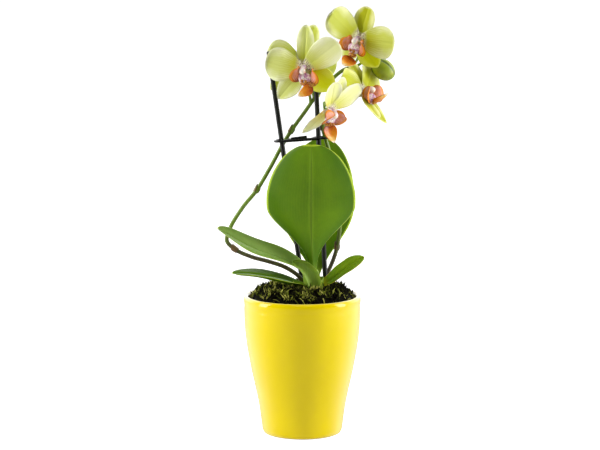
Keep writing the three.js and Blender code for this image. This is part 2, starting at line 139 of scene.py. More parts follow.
class Piece:
    """One visible piece: a mesh under construction that ends as an object on the part's body."""

    BLADE_MERGE = 0.004
    TUBE_MERGE = 0.0015
    LATHE_MERGE = 0.001
    ROD_MERGE = 0.0005

    def __init__(self, name: str) -> None:
        """Starts an empty mesh with a UV map and a "rim" value that is 1 at a margin."""
        self.name = name
        self.mesh = bmesh.new()
        self.uv = self.mesh.loops.layers.uv.new("UVMap")
        self.rim = self.mesh.verts.layers.float.new("rim")

    def _shade(self, verts: Sequence[bmesh.types.BMVert], slot: int) -> set[bmesh.types.BMFace]:
        """Makes the faces at some vertices smooth, gives them a slot and returns them."""
        faces = {face for vert in verts for face in vert.link_faces}
        for face in faces:
            face.smooth = True
            face.material_index = slot
        return faces

    def _close(self, verts: Sequence[bmesh.types.BMVert], merge: float, slot: int) -> None:
        """Merges vertices that meet and turns the faces of a slot outwards."""
        bmesh.ops.remove_doubles(self.mesh, verts=verts, dist=merge)
        faces = [face for face in self.mesh.faces if face.material_index == slot]
        bmesh.ops.recalc_face_normals(self.mesh, faces=faces)

    def blade(
        self, across: int, along: int, sheet: Sheet, rim: Callable[[float, float], float], slot: int = 0
    ) -> None:
        """Adds a thin closed blade, made from a grid that is given two sides.

        Args:
            across: number of cells over the width.
            along: number of cells over the length.
            sheet: gives the mid-surface point, its normal and half the thickness at (u, t), where u runs
                from -1 to 1 across and t from 0 to 1 along.
            rim: gives the margin value at (u, t).
            slot: the material slot of the blade's faces.
        """
        made = bmesh.ops.create_grid(self.mesh, x_segments=across, y_segments=along, size=1.0)
        front = made["verts"]
        faces = {face for vert in front for face in vert.link_faces}
        grown = bmesh.ops.extrude_face_region(self.mesh, geom=list(faces))["geom"]
        back = [item for item in grown if isinstance(item, bmesh.types.BMVert)]
        verts = front + back
        for face in self._shade(verts, slot):
            for loop in face.loops:
                loop[self.uv].uv = ((loop.vert.co.x + 1) / 2, ease(loop.vert.co.y))
        for side, group in ((-1, front), (1, back)):
            for vert in group:
                u, t = vert.co.x, ease(vert.co.y)
                point, normal, half = sheet(u, t)
                vert[self.rim] = rim(u, t)
                vert.co = point + normal * (side * half)
        self._close(verts, self.BLADE_MERGE, slot)

    def tube(self, ways: int, along: int, surface: Callable[[float, float], Vector], slot: int = 0) -> None:
        """Adds a closed tube, made from a grid that is rolled up and merged along its seam.

        Args:
            ways: number of cells round the tube.
            along: number of cells over its length.
            surface: gives the point at (angle in radians, share of the length). At shares 0 and 1 it should
                give one point for every angle, so that the ends close.
            slot: the material slot of the tube's faces.
        """
        verts = bmesh.ops.create_grid(self.mesh, x_segments=ways, y_segments=along, size=1.0)["verts"]
        for face in self._shade(verts, slot):
            for loop in face.loops:
                loop[self.uv].uv = ((loop.vert.co.x + 1) / 2, (loop.vert.co.y + 1) / 2)
        for vert in verts:
            vert.co = surface(math.pi * (vert.co.x + 1), (vert.co.y + 1) / 2)
        self._close(verts, self.TUBE_MERGE, slot)

    def ball(self, centre: Sequence[float], radii: Sequence[float], slot: int = 0) -> None:
        """Adds an egg shape."""
        place = Matrix.Translation(centre) @ Matrix.Diagonal((*radii, 1))
        made = bmesh.ops.create_uvsphere(self.mesh, u_segments=24, v_segments=16, radius=1, matrix=place)
        self._shade(made["verts"], slot)

    def rod(self, points: Sequence[Vector], wide: float, shade: float) -> None:
        """Adds a low, three-sided, tapering rod through points.

        Args:
            points: the rod's centre line.
            wide: half the rod's width.
            shade: the "rim" value of the whole rod.
        """
        flat, tip = 0.6, 0.04
        rings = len(points) - 1
        verts = bmesh.ops.create_grid(self.mesh, x_segments=3, y_segments=rings, size=1.0)["verts"]
        for vert in verts:
            step = round((vert.co.y + 1) / 2 * rings)
            angle = math.pi * (vert.co.x + 1)
            ahead = (points[min(step + 1, rings)] - points[max(step - 1, 0)]).normalized()
            side = ahead.cross(UP).normalized()
            up = side.cross(ahead)
            size = wide * (tip if step in (0, rings) else 1.0)
            vert[self.rim] = shade
            vert.co = points[step] + (side * math.cos(angle) + up * math.sin(angle) * flat) * size
        self._shade(verts, 0)
        bmesh.ops.remove_doubles(self.mesh, verts=verts, dist=self.ROD_MERGE)

    def lathe(self, profile: Sequence[tuple[float, float]], steps: int = 96, slot: int = 0) -> None:
        """Turns a closed profile of (radius, height) points about the vertical axis."""
        points = [self.mesh.verts.new((radius, 0, height)) for radius, height in profile]
        edges = [self.mesh.edges.new(pair) for pair in zip(points, points[1:])]
        bmesh.ops.spin(
            self.mesh,
            geom=points + edges,
            cent=(0, 0, 0),
            axis=UP,
            angle=math.tau,
            steps=steps,
            use_merge=True,
        )
        verts = self.mesh.verts[:]
        self._shade(verts, slot)
        self._close(verts, self.LATHE_MERGE, slot)

    def absorb(self, other: "Piece") -> None:
        """Moves another unfinished piece's mesh into this one."""
        data = bpy.data.meshes.new(other.name)
        other.mesh.to_mesh(data)
        other.mesh.free()
        self.mesh.from_mesh(data)
        bpy.data.meshes.remove(data)

    def finish(self, materials: Sequence[bpy.types.Material], slot: str, *nodes: str) -> bpy.types.Object:
        """Turns the mesh into an object in metres that stands for the given CAD nodes.

        Args:
            materials: the object's materials, in slot order.
            slot: the name of a material slot; not used.
            nodes: the CAD nodes that the piece replaces.

        Returns:
            The new object.
        """
        bmesh.ops.scale(self.mesh, vec=(MM, MM, MM), verts=self.mesh.verts[:])
        data = bpy.data.meshes.new(self.name)
        self.mesh.to_mesh(data)
        self.mesh.free()
        for material in materials:
            data.materials.append(material)
        piece = bpy.data.objects.new(self.name, data)
        bpy.context.scene.collection.objects.link(piece)
        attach(piece, BODY)
        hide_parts(*nodes)
        log.info("%s: %d faces", self.name, len(data.polygons))
        return piece


class Route:
    """A smooth centripetal curve through points, measured by its length, with a steady frame along it."""

    SAMPLES = 24
    STEP = 0.004

    def __init__(self, points: Sequence[Sequence[float]]) -> None:
        """Samples the curve finely and carries a side direction along it."""
        knots = [Vector(p) for p in points]
        knots = [2 * knots[0] - knots[1], *knots, 2 * knots[-1] - knots[-2]]
        self.points: list[Vector] = []
        for a, b, c, d in zip(knots, knots[1:], knots[2:], knots[3:]):
            self.points += [self._between(a, b, c, d, i / self.SAMPLES) for i in range(self.SAMPLES)]
        self.points.append(knots[-2])
        self.lengths = [0.0]
        for a, b in zip(self.points, self.points[1:]):
            self.lengths.append(self.lengths[-1] + (b - a).length)
        self.length = self.lengths[-1]

    @staticmethod
    def _between(a: Vector, b: Vector, c: Vector, d: Vector, share: float) -> Vector:
        """Gives the point a share of the way from b to c."""
        first, middle, last = ((q - p).length ** 0.5 for p, q in ((a, b), (b, c), (c, d)))
        start = ((b - a) / first - (c - a) / (first + middle) + (c - b) / middle) * middle
        end = ((c - b) / middle - (d - b) / (middle + last) + (d - c) / last) * middle
        square, cube = share * share, share**3
        return (
            b * (2 * cube - 3 * square + 1)
            + start * (cube - 2 * square + share)
            + c * (3 * square - 2 * cube)
            + end * (cube - square)
        )

    def at(self, share: float) -> Vector:
        """Gives the point at a share of the length."""
        wanted = min(max(share, 0.0), 1.0) * self.length
        low, high = 0, len(self.lengths) - 1
        while high - low > 1:
            middle = (low + high) // 2
            low, high = (middle, high) if self.lengths[middle] <= wanted else (low, middle)
        span = self.lengths[high] - self.lengths[low]
        return self.points[low].lerp(self.points[high], (wanted - self.lengths[low]) / max(span, 1e-9))

    def along(self, share: float) -> Vector:
        """Gives the direction of travel at a share of the length."""
        return (self.at(min(1.0, share + self.STEP)) - self.at(max(0.0, share - self.STEP))).normalized()

    def nearest(self, target: Sequence[float]) -> float:
        """Gives the share of the length that comes closest to a point."""
        goal = Vector(target)
        best = min(range(len(self.points)), key=lambda i: (self.points[i] - goal).length)
        return self.lengths[best] / self.length

    def frames(self, count: int) -> list[tuple[Vector, Vector, Vector]]:
        """Gives count + 1 steady frames along the curve, each a point and two directions across it."""
        made = []
        side = self.along(0).orthogonal().normalized()
        for i in range(count + 1):
            ahead = self.along(i / count)
            side = (side - ahead * side.dot(ahead)).normalized()
            made.append((self.at(i / count), side, ahead.cross(side)))
        return made


def sweep(piece: Piece, route: Route, radius: Callable[[float], float], ways: int, along: int) -> None:
    """Adds a round tube along a route, with ends that close.

    Args:
        piece: the piece to add to.
        route: the centre line.
        radius: gives the radius at a share of the length.
        ways: number of cells round the tube.
        along: number of cells over its length.
    """
    frames = route.frames(along)

    def surface(angle: float, share: float) -> Vector:
        """Gives the point on the tube."""
        step = round(share * along)
        centre, side, up = frames[step]
        if step in (0, along):
            return centre
        return centre + (side * math.cos(angle) + up * math.sin(angle)) * radius(share)

    piece.tube(ways, along, surface)


# ---------------------------------------------------------------- shader parts


class Shader:
    """A material under construction, with short names for the nodes that the finishes use."""

    def __init__(self, name: str) -> None:
        """Starts a node material with one Principled shader."""
        self.material = bpy.data.materials.new(name)
        self.material.use_nodes = True
        self.tree = self.material.node_tree
        self.shader = self.tree.nodes["Principled BSDF"]

    def node(self, kind: str, **settings: object) -> bpy.types.Node:
        """Adds a node and sets its properties."""
        made = self.tree.nodes.new(kind)
        for key, value in settings.items():
            setattr(made, key, value)
        return made

    def feed(self, target: bpy.types.NodeSocket, value: object) -> None:
        """Links a socket to a target, or sets the target to a plain value."""
        if isinstance(value, bpy.types.NodeSocket):
            self.tree.links.new(value, target)
        elif isinstance(value, str):
            target.default_value = (*colour(value), 1)
        else:
            target.default_value = value

    def put(self, **values: object) -> None:
        """Feeds the Principled shader's sockets, named with underscores."""
        for key, value in values.items():
            self.feed(self.shader.inputs[key.replace("_", " ")], value)

    def attribute(self, name: str) -> bpy.types.NodeSocket:
        """Reads a number stored on the piece's vertices."""
        return self.node("ShaderNodeAttribute", attribute_name=name).outputs["Fac"]

    def place(self, scale: Sequence[float] = (1, 1, 1)) -> bpy.types.NodeSocket:
        """Reads the point in the part's own frame, scaled."""
        mapping = self.node("ShaderNodeMapping")
        mapping.inputs["Scale"].default_value = scale
        self.feed(mapping.inputs["Vector"], self.node("ShaderNodeTexCoord").outputs["Object"])
        return mapping.outputs["Vector"]

    def height(self) -> bpy.types.NodeSocket:
        """Reads the height above the part's foot, in metres."""
        split = self.node("ShaderNodeSeparateXYZ")
        self.feed(split.inputs[0], self.place())
        return split.outputs["Z"]

    def across_and_along(self) -> tuple[bpy.types.NodeSocket, bpy.types.NodeSocket]:
        """Reads the piece's own UV map as its share across and its share along."""
        split = self.node("ShaderNodeSeparateXYZ")
        self.feed(split.inputs[0], self.node("ShaderNodeUVMap", uv_map="UVMap").outputs["UV"])
        return split.outputs["X"], split.outputs["Y"]

    def math(self, operation: str, *values: object) -> bpy.types.NodeSocket:
        """Works out one number from others."""
        made = self.node("ShaderNodeMath", operation=operation)
        for socket, value in zip(made.inputs, values):
            self.feed(socket, value)
        return made.outputs[0]

    def ramp(self, value: bpy.types.NodeSocket, *stops: tuple[float, str]) -> bpy.types.NodeSocket:
        """Turns a number into a colour through stops of (position, colour)."""
        made = self.node("ShaderNodeValToRGB")
        elements = made.color_ramp.elements
        while len(elements) < len(stops):
            elements.new(0.5)
        for element, (position, code) in zip(elements, stops):
            element.position = position
            element.color = (*colour(code), 1)
        self.feed(made.inputs["Fac"], value)
        return made.outputs["Color"]

    def span(
        self, value: bpy.types.NodeSocket, low: float, high: float, start: float = 0.0, end: float = 1.0
    ) -> bpy.types.NodeSocket:
        """Maps a number smoothly from low..high to start..end."""
        made = self.node("ShaderNodeMapRange", interpolation_type="SMOOTHSTEP")
        for socket, number in zip(made.inputs, (value, low, high, start, end)):
            self.feed(socket, number)
        return made.outputs["Result"]

    def mix(self, factor: object, first: object, second: object, blend: str = "MIX") -> bpy.types.NodeSocket:
        """Mixes two colours."""
        made = self.node("ShaderNodeMix", data_type="RGBA", blend_type=blend)
        self.feed(made.inputs["Factor"], factor)
        self.feed(made.inputs["A"], first)
        self.feed(made.inputs["B"], second)
        return made.outputs["Result"]

    def effect(self, group: bpy.types.NodeTree, **values: object) -> bpy.types.Node:
        """Places a shared effect with its own values."""
        made = self.node("ShaderNodeGroup", node_tree=group)
        for key, value in values.items():
            self.feed(made.inputs[key.replace("_", " ")], value)
        return made

    def blotches(
        self, scale: float, stretch: Sequence[float] = (1, 1, 1), detail: float = 3.0
    ) -> bpy.types.NodeSocket:
        """Places soft blotches between 0 and 1."""
        made = self.effect(EFFECTS.mottle, Vector=self.place(stretch), Scale=scale, Detail=detail)
        return made.outputs[0]

    def dots(self, scale: float, size: float) -> bpy.types.NodeSocket:
        """Places scattered dots: 1 inside a dot."""
        return self.effect(EFFECTS.dots, Vector=self.place(), Scale=scale, Size=size).outputs[0]

    def veins(
        self, across: bpy.types.NodeSocket, along: bpy.types.NodeSocket, lines: float, waver: float
    ) -> bpy.types.NodeSocket:
        """Places fine lines along a blade: 1 on a line."""
        made = self.effect(EFFECTS.veins, Across=across, Along=along, Lines=lines, Waver=waver)
        return made.outputs[0]

    def bump(self, height: bpy.types.NodeSocket, strength: float, depth: float) -> None:
        """Raises the surface by a height, depth being in millimetres."""
        made = self.node("ShaderNodeBump")
        made.inputs["Strength"].default_value = strength
        made.inputs["Distance"].default_value = depth * MM
        self.feed(made.inputs["Height"], height)
        self.put(Normal=made.outputs["Normal"])


class Effects:
    """The shared effects, each a node group that is built once."""

    def __init__(self) -> None:
        """Builds every group."""
        self.mottle = self._mottle()
        self.veins = self._veins()
        self.dots = self._dots()

    @staticmethod
    def _group(name: str, inputs: dict[str, float | None], output: str) -> tuple:
        """Starts a group and returns its tree, its input node and its output node."""
        tree = bpy.data.node_groups.new(name, "ShaderNodeTree")
        for key, value in inputs.items():
            kind = "NodeSocketVector" if value is None else "NodeSocketFloat"
            socket = tree.interface.new_socket(name=key, in_out="INPUT", socket_type=kind)
            if value is not None:
                socket.default_value = value
        tree.interface.new_socket(name=output, in_out="OUTPUT", socket_type="NodeSocketFloat")
        return tree, tree.nodes.new("NodeGroupInput"), tree.nodes.new("NodeGroupOutput")

    def _mottle(self) -> bpy.types.NodeTree:
        """Soft blotches between 0 and 1."""
        inputs = {"Vector": None, "Scale": 40.0, "Detail": 3.0}
        tree, start, end = self._group("soft_blotches", inputs, "Value")
        blotch = tree.nodes.new("ShaderNodeTexNoise")
        for key in ("Vector", "Scale", "Detail"):
            tree.links.new(start.outputs[key], blotch.inputs[key])
        spread = tree.nodes.new("ShaderNodeMapRange")
        spread.inputs["From Min"].default_value = 0.3
        spread.inputs["From Max"].default_value = 0.7
        tree.links.new(blotch.outputs["Fac"], spread.inputs["Value"])
        tree.links.new(spread.outputs["Result"], end.inputs["Value"])
        return tree

    def _veins(self) -> bpy.types.NodeTree:
        """Fine lines that run along a blade, wavering a little: 1 on a line, 0 between."""
        inputs = {"Across": 0.5, "Along": 0.5, "Lines": 20.0, "Waver": 0.3}
        tree, start, end = self._group("blade_veins", inputs, "Value")
        spot = tree.nodes.new("ShaderNodeCombineXYZ")
        tree.links.new(start.outputs["Across"], spot.inputs["X"])
        tree.links.new(start.outputs["Along"], spot.inputs["Y"])
        shake = tree.nodes.new("ShaderNodeTexNoise")
        shake.inputs["Scale"].default_value = 5.0
        tree.links.new(spot.outputs[0], shake.inputs["Vector"])
        steps = (
            ("MULTIPLY", start.outputs["Across"], start.outputs["Lines"]),
            ("MULTIPLY", shake.outputs["Fac"], start.outputs["Waver"]),
            ("ADD", 0, 1),
            ("PINGPONG", 2, 0.5),
            ("MULTIPLY", 3, 2.0),
            ("POWER", 4, 2.0),
        )
        made: list[bpy.types.Node] = []
        for operation, first, second in steps:
            node = tree.nodes.new("ShaderNodeMath")
            node.operation = operation
            for socket, value in zip(node.inputs, (first, second)):
                if isinstance(value, int):
                    tree.links.new(made[value].outputs[0], socket)
                elif isinstance(value, float):
                    socket.default_value = value
                else:
                    tree.links.new(value, socket)
            made.append(node)
        tree.links.new(made[-1].outputs[0], end.inputs["Value"])
        return tree

    def _dots(self) -> bpy.types.NodeTree:
        """Scattered small dots: 1 inside a dot."""
        inputs = {"Vector": None, "Scale": 1000.0, "Size": 0.3}
        tree, start, end = self._group("scattered_dots", inputs, "Value")
        cells = tree.nodes.new("ShaderNodeTexVoronoi")
        for key in ("Vector", "Scale"):
            tree.links.new(start.outputs[key], cells.inputs[key])
        inside = tree.nodes.new("ShaderNodeMath")
        inside.operation = "LESS_THAN"
        tree.links.new(cells.outputs["Distance"], inside.inputs[0])
        tree.links.new(start.outputs["Size"], inside.inputs[1])
        tree.links.new(inside.outputs[0], end.inputs["Value"])
        return tree


EFFECTS = Effects()


# ---------------------------------------------------------------- finishes


@dataclass(frozen=True)
class TepalFinish:
    """The soft, veined surface of a sepal or petal."""

    name: str
    heart: str
    middle: str
    margin: str
    base: str = "F2F0DC"
    speckle: str = "7A3B52"
    speckled: float = 0.14

    def build(self) -> bpy.types.Material:
        """Builds the material."""
        s = Shader(self.name)
        across, along = s.across_and_along()
        rim = s.attribute("rim")
        blotch = s.blotches(90.0)
        uneven = s.math("ADD", rim, s.span(blotch, 0, 1, -0.12, 0.12))
        body = s.ramp(uneven, (0.0, self.middle), (0.4, self.middle), (0.9, self.margin))
        veins = s.veins(across, along, 15.0, 1.6)
        reach = s.math("ADD", along, s.math("MULTIPLY", veins, -0.14))
        body = s.mix(s.span(reach, 0.0, 0.62, 1, 0), body, self.heart)
        body = s.mix(s.math("MULTIPLY", veins, 0.08), body, self.heart)
        body = s.mix(s.span(along, 0.02, 0.2, 0.75, 0), body, self.base)
        dots = s.dots(900.0, 0.4)
        near = s.span(along, self.speckled * 0.5, self.speckled * 1.4, 0.85, 0)
        body = s.mix(s.math("MULTIPLY", dots, near), body, self.speckle)
        s.put(Base_Color=body, Roughness=0.5, Subsurface_Weight=0.22, Subsurface_Scale=0.003)
        s.put(Subsurface_Radius=(1.0, 0.9, 0.35), Specular_IOR_Level=0.2)
        s.bump(s.math("ADD", veins, s.math("MULTIPLY", blotch, 0.8)), 0.18, 0.1)
        return s.material


@dataclass(frozen=True)
class LobeFinish:
    """The lip's side lobes: mauve-pink inside, striped dark at the base, with an orange rim."""

    name: str = "lip_side_lobe"
    base: str = "7A1E0E"
    inside: str = "DE8850"
    blush: str = "E2A49C"
    rim: str = "E08A10"
    edge: str = "B2500C"

    def build(self) -> bpy.types.Material:
        """Builds the material."""
        s = Shader(self.name)
        across, along = s.across_and_along()
        rim = s.attribute("rim")
        blotch = s.blotches(260.0)
        inside = s.mix(blotch, self.inside, self.blush)
        body = s.mix(s.span(rim, 0.5, 0.82), inside, self.rim)
        body = s.mix(s.span(rim, 0.88, 0.99, 0, 0.8), body, self.edge)
        stripes = s.veins(across, along, 9.0, 1.0)
        low = s.span(along, 0.1, 0.6, 1, 0)
        body = s.mix(s.math("MULTIPLY", stripes, low), body, self.base)
        body = s.mix(s.span(along, 0.02, 0.3, 0.85, 0), body, self.base)
        s.put(Base_Color=body, Roughness=0.36, Specular_IOR_Level=0.25, Coat_Weight=0.15)
        s.put(Subsurface_Weight=0.15, Subsurface_Scale=0.002)
        s.bump(stripes, 0.3, 0.15)
        return s.material


@dataclass(frozen=True)
class MidLobeFinish:
    """The lip's middle lobe: red-brown at its base, orange, with a cream tip."""

    name: str = "lip_middle_lobe"
    stops: tuple = ((0.06, "8A300C"), (0.25, "C8660E"), (0.58, "E6921A"), (0.8, "F0BC5C"), (0.94, "FAECD0"))
    stripe: str = "8A2406"
    edge: str = "B4500C"

    def build(self) -> bpy.types.Material:
        """Builds the material."""
        s = Shader(self.name)
        across, along = s.across_and_along()
        blotch = s.blotches(320.0)
        reach = s.math("ADD", along, s.span(blotch, 0, 1, -0.08, 0.08))
        body = s.ramp(reach, *self.stops)
        stripes = s.veins(across, along, 11.0, 0.8)
        body = s.mix(s.math("MULTIPLY", stripes, s.span(along, 0.2, 0.75, 0.55, 0)), body, self.stripe)
        body = s.mix(s.span(s.attribute("rim"), 0.86, 1.0, 0, 0.6), body, self.edge)
        s.put(Base_Color=body, Roughness=0.34, Specular_IOR_Level=0.25, Coat_Weight=0.2)
        s.put(Subsurface_Weight=0.15, Subsurface_Scale=0.002)
        s.bump(stripes, 0.3, 0.15)
        return s.material


@dataclass(frozen=True)
class CallusFinish:
    """The warty callus between the lobes: orange-brown and yellow with dark red dots."""

    name: str = "lip_callus"
    body: str = "B4601A"
    pale: str = "E2A838"
    dot: str = "6E1606"

    def build(self) -> bpy.types.Material:
        """Builds the material."""
        s = Shader(self.name)
        dots = s.dots(1000.0, 0.42)
        blotch = s.blotches(500.0)
        body = s.mix(dots, s.mix(blotch, self.body, self.pale), self.dot)
        s.put(Base_Color=body, Roughness=0.4, Coat_Weight=0.3)
        s.bump(blotch, 0.4, 0.3)
        return s.material


@dataclass(frozen=True)
class ThroatFinish:
    """The lip's throat: white and lilac, with dark red dots."""

    name: str = "lip_throat"
    stops: tuple = ((0.2, "F4EDE6"), (0.55, "DDB6CC"), (0.9, "B06C9C"))
    dot: str = "8A2A1E"

    def build(self) -> bpy.types.Material:
        """Builds the material."""
        s = Shader(self.name)
        blotch = s.blotches(330.0)
        dots = s.dots(950.0, 0.34)
        body = s.mix(s.math("MULTIPLY", dots, 0.85), s.ramp(blotch, *self.stops), self.dot)
        s.put(Base_Color=body, Roughness=0.4, Coat_Weight=0.15)
        s.put(Subsurface_Weight=0.15, Subsurface_Scale=0.002)
        s.bump(blotch, 0.3, 0.2)
        return s.material


@dataclass(frozen=True)
class ColumnFinish:
    """The waxy column: white above, flushed lilac towards its foot and under its cap."""

    name: str = "column_wax"
    stops: tuple = ((0.05, "CFC87A"), (0.22, "E6D8DC"), (0.5, "B98CB4"), (0.68, "EEE2E2"), (1.0, "FAF2D8"))

    def build(self) -> bpy.types.Material:
        """Builds the material."""
        s = Shader(self.name)
        _, along = s.across_and_along()
        blotch = s.blotches(380.0)
        reach = s.math("ADD", along, s.span(blotch, 0, 1, -0.06, 0.06))
        s.put(Base_Color=s.ramp(reach, *self.stops), Roughness=0.3, Coat_Weight=0.3)
        s.put(Subsurface_Weight=0.2, Subsurface_Scale=0.002)
        s.bump(blotch, 0.2, 0.15)
        return s.material


@dataclass(frozen=True)
class LeafFinish:
    """A thick waxy leaf: parallel veins, a bright margin, painted shade towards its margins and its foot, a
    dark line of painted shade in its midrib groove and a painted highlight beside it.
    """

    name: str
    deep: str = "3A6006"
    green: str = "709608"
    bright: str = "8CAA2A"
    margin: str = "A6C02C"
    gloss: float = 0.42
    scuff: str = "B8C890"

    def build(self) -> bpy.types.Material:
        """Builds the material."""
        s = Shader(self.name)
        across, along = s.across_and_along()
        rim = s.attribute("rim")
        cloud = s.blotches(22.0, detail=4.0)
        body = s.mix(s.math("MULTIPLY", cloud, 0.6), self.green, self.deep)
        veins = s.veins(across, along, 34.0, 1.2)
        body = s.mix(s.math("MULTIPLY", s.math("MULTIPLY", veins, cloud), 0.14), body, self.bright)
        middle = s.math("ABSOLUTE", s.math("SUBTRACT", across, 0.5))
        # Painted shade: darker towards both margins and towards the foot.
        body = s.mix(s.span(middle, 0.14, 0.5, 0, 0.7), body, self.deep)
        body = s.mix(s.span(along, 0.12, 0.55, 0.6, 0), body, self.deep)
        # Painted shade and painted highlight: a dark line in the midrib groove and a pale stripe beside it.
        body = s.mix(s.span(middle, 0.004, 0.013, 0.75, 0), body, self.deep)
        body = s.mix(s.span(middle, 0.012, 0.035, 0.3, 0), body, self.bright)
        fine = s.blotches(420.0)
        body = s.mix(s.math("MULTIPLY", fine, 0.14), body, self.deep)
        body = s.mix(s.span(rim, 0.93, 0.985), body, self.margin)
        body = s.mix(s.span(along, 0.0, 0.16, 0.5, 0), body, self.margin)
        body = s.mix(s.math("MULTIPLY", s.dots(28.0, 0.05), 0.4), body, self.scuff)
        s.put(Base_Color=body, Roughness=s.span(fine, 0, 1, self.gloss - 0.06, self.gloss + 0.1))
        s.put(Subsurface_Weight=0.06, Subsurface_Scale=0.002, Coat_Weight=0.12, Coat_Roughness=0.25)
        s.put(Specular_IOR_Level=0.09)
        s.bump(s.math("ADD", veins, fine), 0.3, 0.14)
        return s.material


@dataclass(frozen=True)
class StemFinish:
    """A flower stem: green above, turning brown-green towards its base, partly its own colour and partly
    painted shade under the leaves, and brown at its joints.
    """

    name: str
    low: str = "403814"
    high: str = "6E8E12"
    joint: str = "6B4A1E"
    foot: float = 162.0
    head: float = 200.0

    def build(self) -> bpy.types.Material:
        """Builds the material."""
        s = Shader(self.name)
        # The darker foot is partly the stem's own brown-green and partly painted shade under the leaves.
        height = s.span(s.height(), self.foot * MM, self.head * MM)
        streak = s.blotches(110.0, (6, 6, 1))
        body = s.mix(s.math("ADD", height, s.span(streak, 0, 1, -0.2, 0.2)), self.low, self.high)
        fine = s.blotches(900.0)
        body = s.mix(s.math("MULTIPLY", fine, 0.25), body, self.low)
        body = s.mix(s.attribute("rim"), body, self.joint)
        s.put(Base_Color=body, Roughness=0.45, Coat_Weight=0.1)
        s.put(Subsurface_Weight=0.05, Subsurface_Scale=0.001)
        s.bump(fine, 0.3, 0.12)
        return s.material


@dataclass(frozen=True)
class CrownFinish:
    """The plant's short stem: pale green sheaths over a brown, papery foot, and silvery roots."""

    name: str = "crown_sheath"
    roots: tuple = ((0.0, "8F9A78"), (0.3, "6B5433"), (0.5, "5B4A22"))
    sheaths: tuple = ((0.6, "A2C03A"), (0.8, "9CC236"), (1.0, "86AA2C"))
    fibre: str = "5A5A20"
    bottom: float = 100.0
    top: float = 160.0

    def build(self) -> bpy.types.Material:
        """Builds the material."""
        s = Shader(self.name)
        fibre = s.blotches(90.0, (10, 10, 1))
        height = s.math("ADD", s.height(), s.span(fibre, 0, 1, -3 * MM, 3 * MM))
        body = s.ramp(s.span(height, self.bottom * MM, self.top * MM), *self.roots, *self.sheaths)
        body = s.mix(s.math("MULTIPLY", fibre, 0.18), body, self.fibre)
        s.put(Base_Color=body, Roughness=0.55, Subsurface_Weight=0.08, Subsurface_Scale=0.002)
        s.bump(fibre, 0.5, 0.3)
        return s.material


@dataclass(frozen=True)
class BudFinish:
    """A closed bud: mottled green, darker in its sunk seams as painted shade."""

    name: str = "bud_skin"
    body: str = "788C04"
    pale: str = "9CA818"
    seam: str = "3C5208"

    def build(self) -> bpy.types.Material:
        """Builds the material."""
        s = Shader(self.name)
        # Painted shade: the seam colour darkens the sunk seams, led by the rim value.
        body = s.mix(s.attribute("rim"), s.mix(s.blotches(120.0), self.body, self.pale), self.seam)
        s.put(Base_Color=body, Roughness=0.42, Coat_Weight=0.12)
        s.put(Subsurface_Weight=0.12, Subsurface_Scale=0.002)
        s.bump(s.blotches(700.0), 0.25, 0.12)
        return s.material


@dataclass(frozen=True)
class GlazeFinish:
    """A glossy yellow glaze with slight waves, over a bare foot, painted paler at a flat angle as a painted
    reflection of the white surround.
    """

    name: str = "yellow_glaze"
    body: str = "E6CE00"
    pooled: str = "D8BE00"
    edge: str = "F4E496"
    foot: str = "E6DCC4"
    pit: str = "B79F00"

    def build(self) -> bpy.types.Material:
        """Builds the material."""
        s = Shader(self.name)
        wave = s.blotches(30.0, (1, 1, 0.5))
        pit = s.dots(420.0, 0.05)
        bare = s.span(s.height(), 0.4 * MM, 0.9 * MM, 1, 0)
        body = s.mix(s.math("MULTIPLY", wave, 0.5), self.body, self.pooled)
        body = s.mix(s.math("MULTIPLY", pit, 0.25), body, self.pit)
        # Painted reflection: paler where the glaze is seen at a flat angle, standing for the white surround
        # it mirrors.
        facing = s.node("ShaderNodeLayerWeight").outputs["Facing"]
        body = s.mix(s.span(facing, 0.2, 0.8, 0, 0.6), body, self.edge)
        body = s.mix(bare, body, self.foot)
        s.put(Base_Color=body, Roughness=s.span(bare, 0, 1, 0.3, 0.85))
        s.put(Coat_Weight=s.span(bare, 0, 1, 1, 0))
        s.put(Coat_Roughness=0.07, Coat_IOR=1.36, Specular_IOR_Level=0.0)
        s.bump(s.math("SUBTRACT", wave, pit), 0.06, 0.6)
        return s.material


@dataclass(frozen=True)
class PlasticFinish:
    """Moulded plastic with faint drawn streaks."""

    name: str
    body: str
    worn: str
    rough: float = 0.34
    grain: tuple[float, float, float] = (8, 8, 1)

    def build(self) -> bpy.types.Material:
        """Builds the material."""
        s = Shader(self.name)
        streak = s.blotches(120.0, self.grain)
        fine = s.blotches(1500.0)
        body = s.mix(streak, self.body, self.worn)
        s.put(Base_Color=body, Roughness=s.span(streak, 0, 1, self.rough - 0.06, self.rough + 0.1))
        s.put(Specular_IOR_Level=0.3)
        s.bump(s.math("ADD", fine, streak), 0.15, 0.08)
        return s.material


@dataclass(frozen=True)
class MossFinish:
    """Dry moss: each strand its own shade of brown, olive or straw."""

    name: str = "moss_strands"
    stops: tuple = ((0.0, "060502"), (0.3, "16140A"), (0.55, "33380C"), (0.78, "66701C"), (1.0, "B4B25A"))

    def build(self) -> bpy.types.Material:
        """Builds the material."""
        s = Shader(self.name)
        fine = s.blotches(700.0)
        shade = s.math("ADD", s.attribute("rim"), s.span(fine, 0, 1, -0.12, 0.12))
        s.put(Base_Color=s.ramp(shade, *self.stops), Roughness=0.85, Specular_IOR_Level=0.05)
        s.bump(fine, 0.5, 0.2)
        return s.material


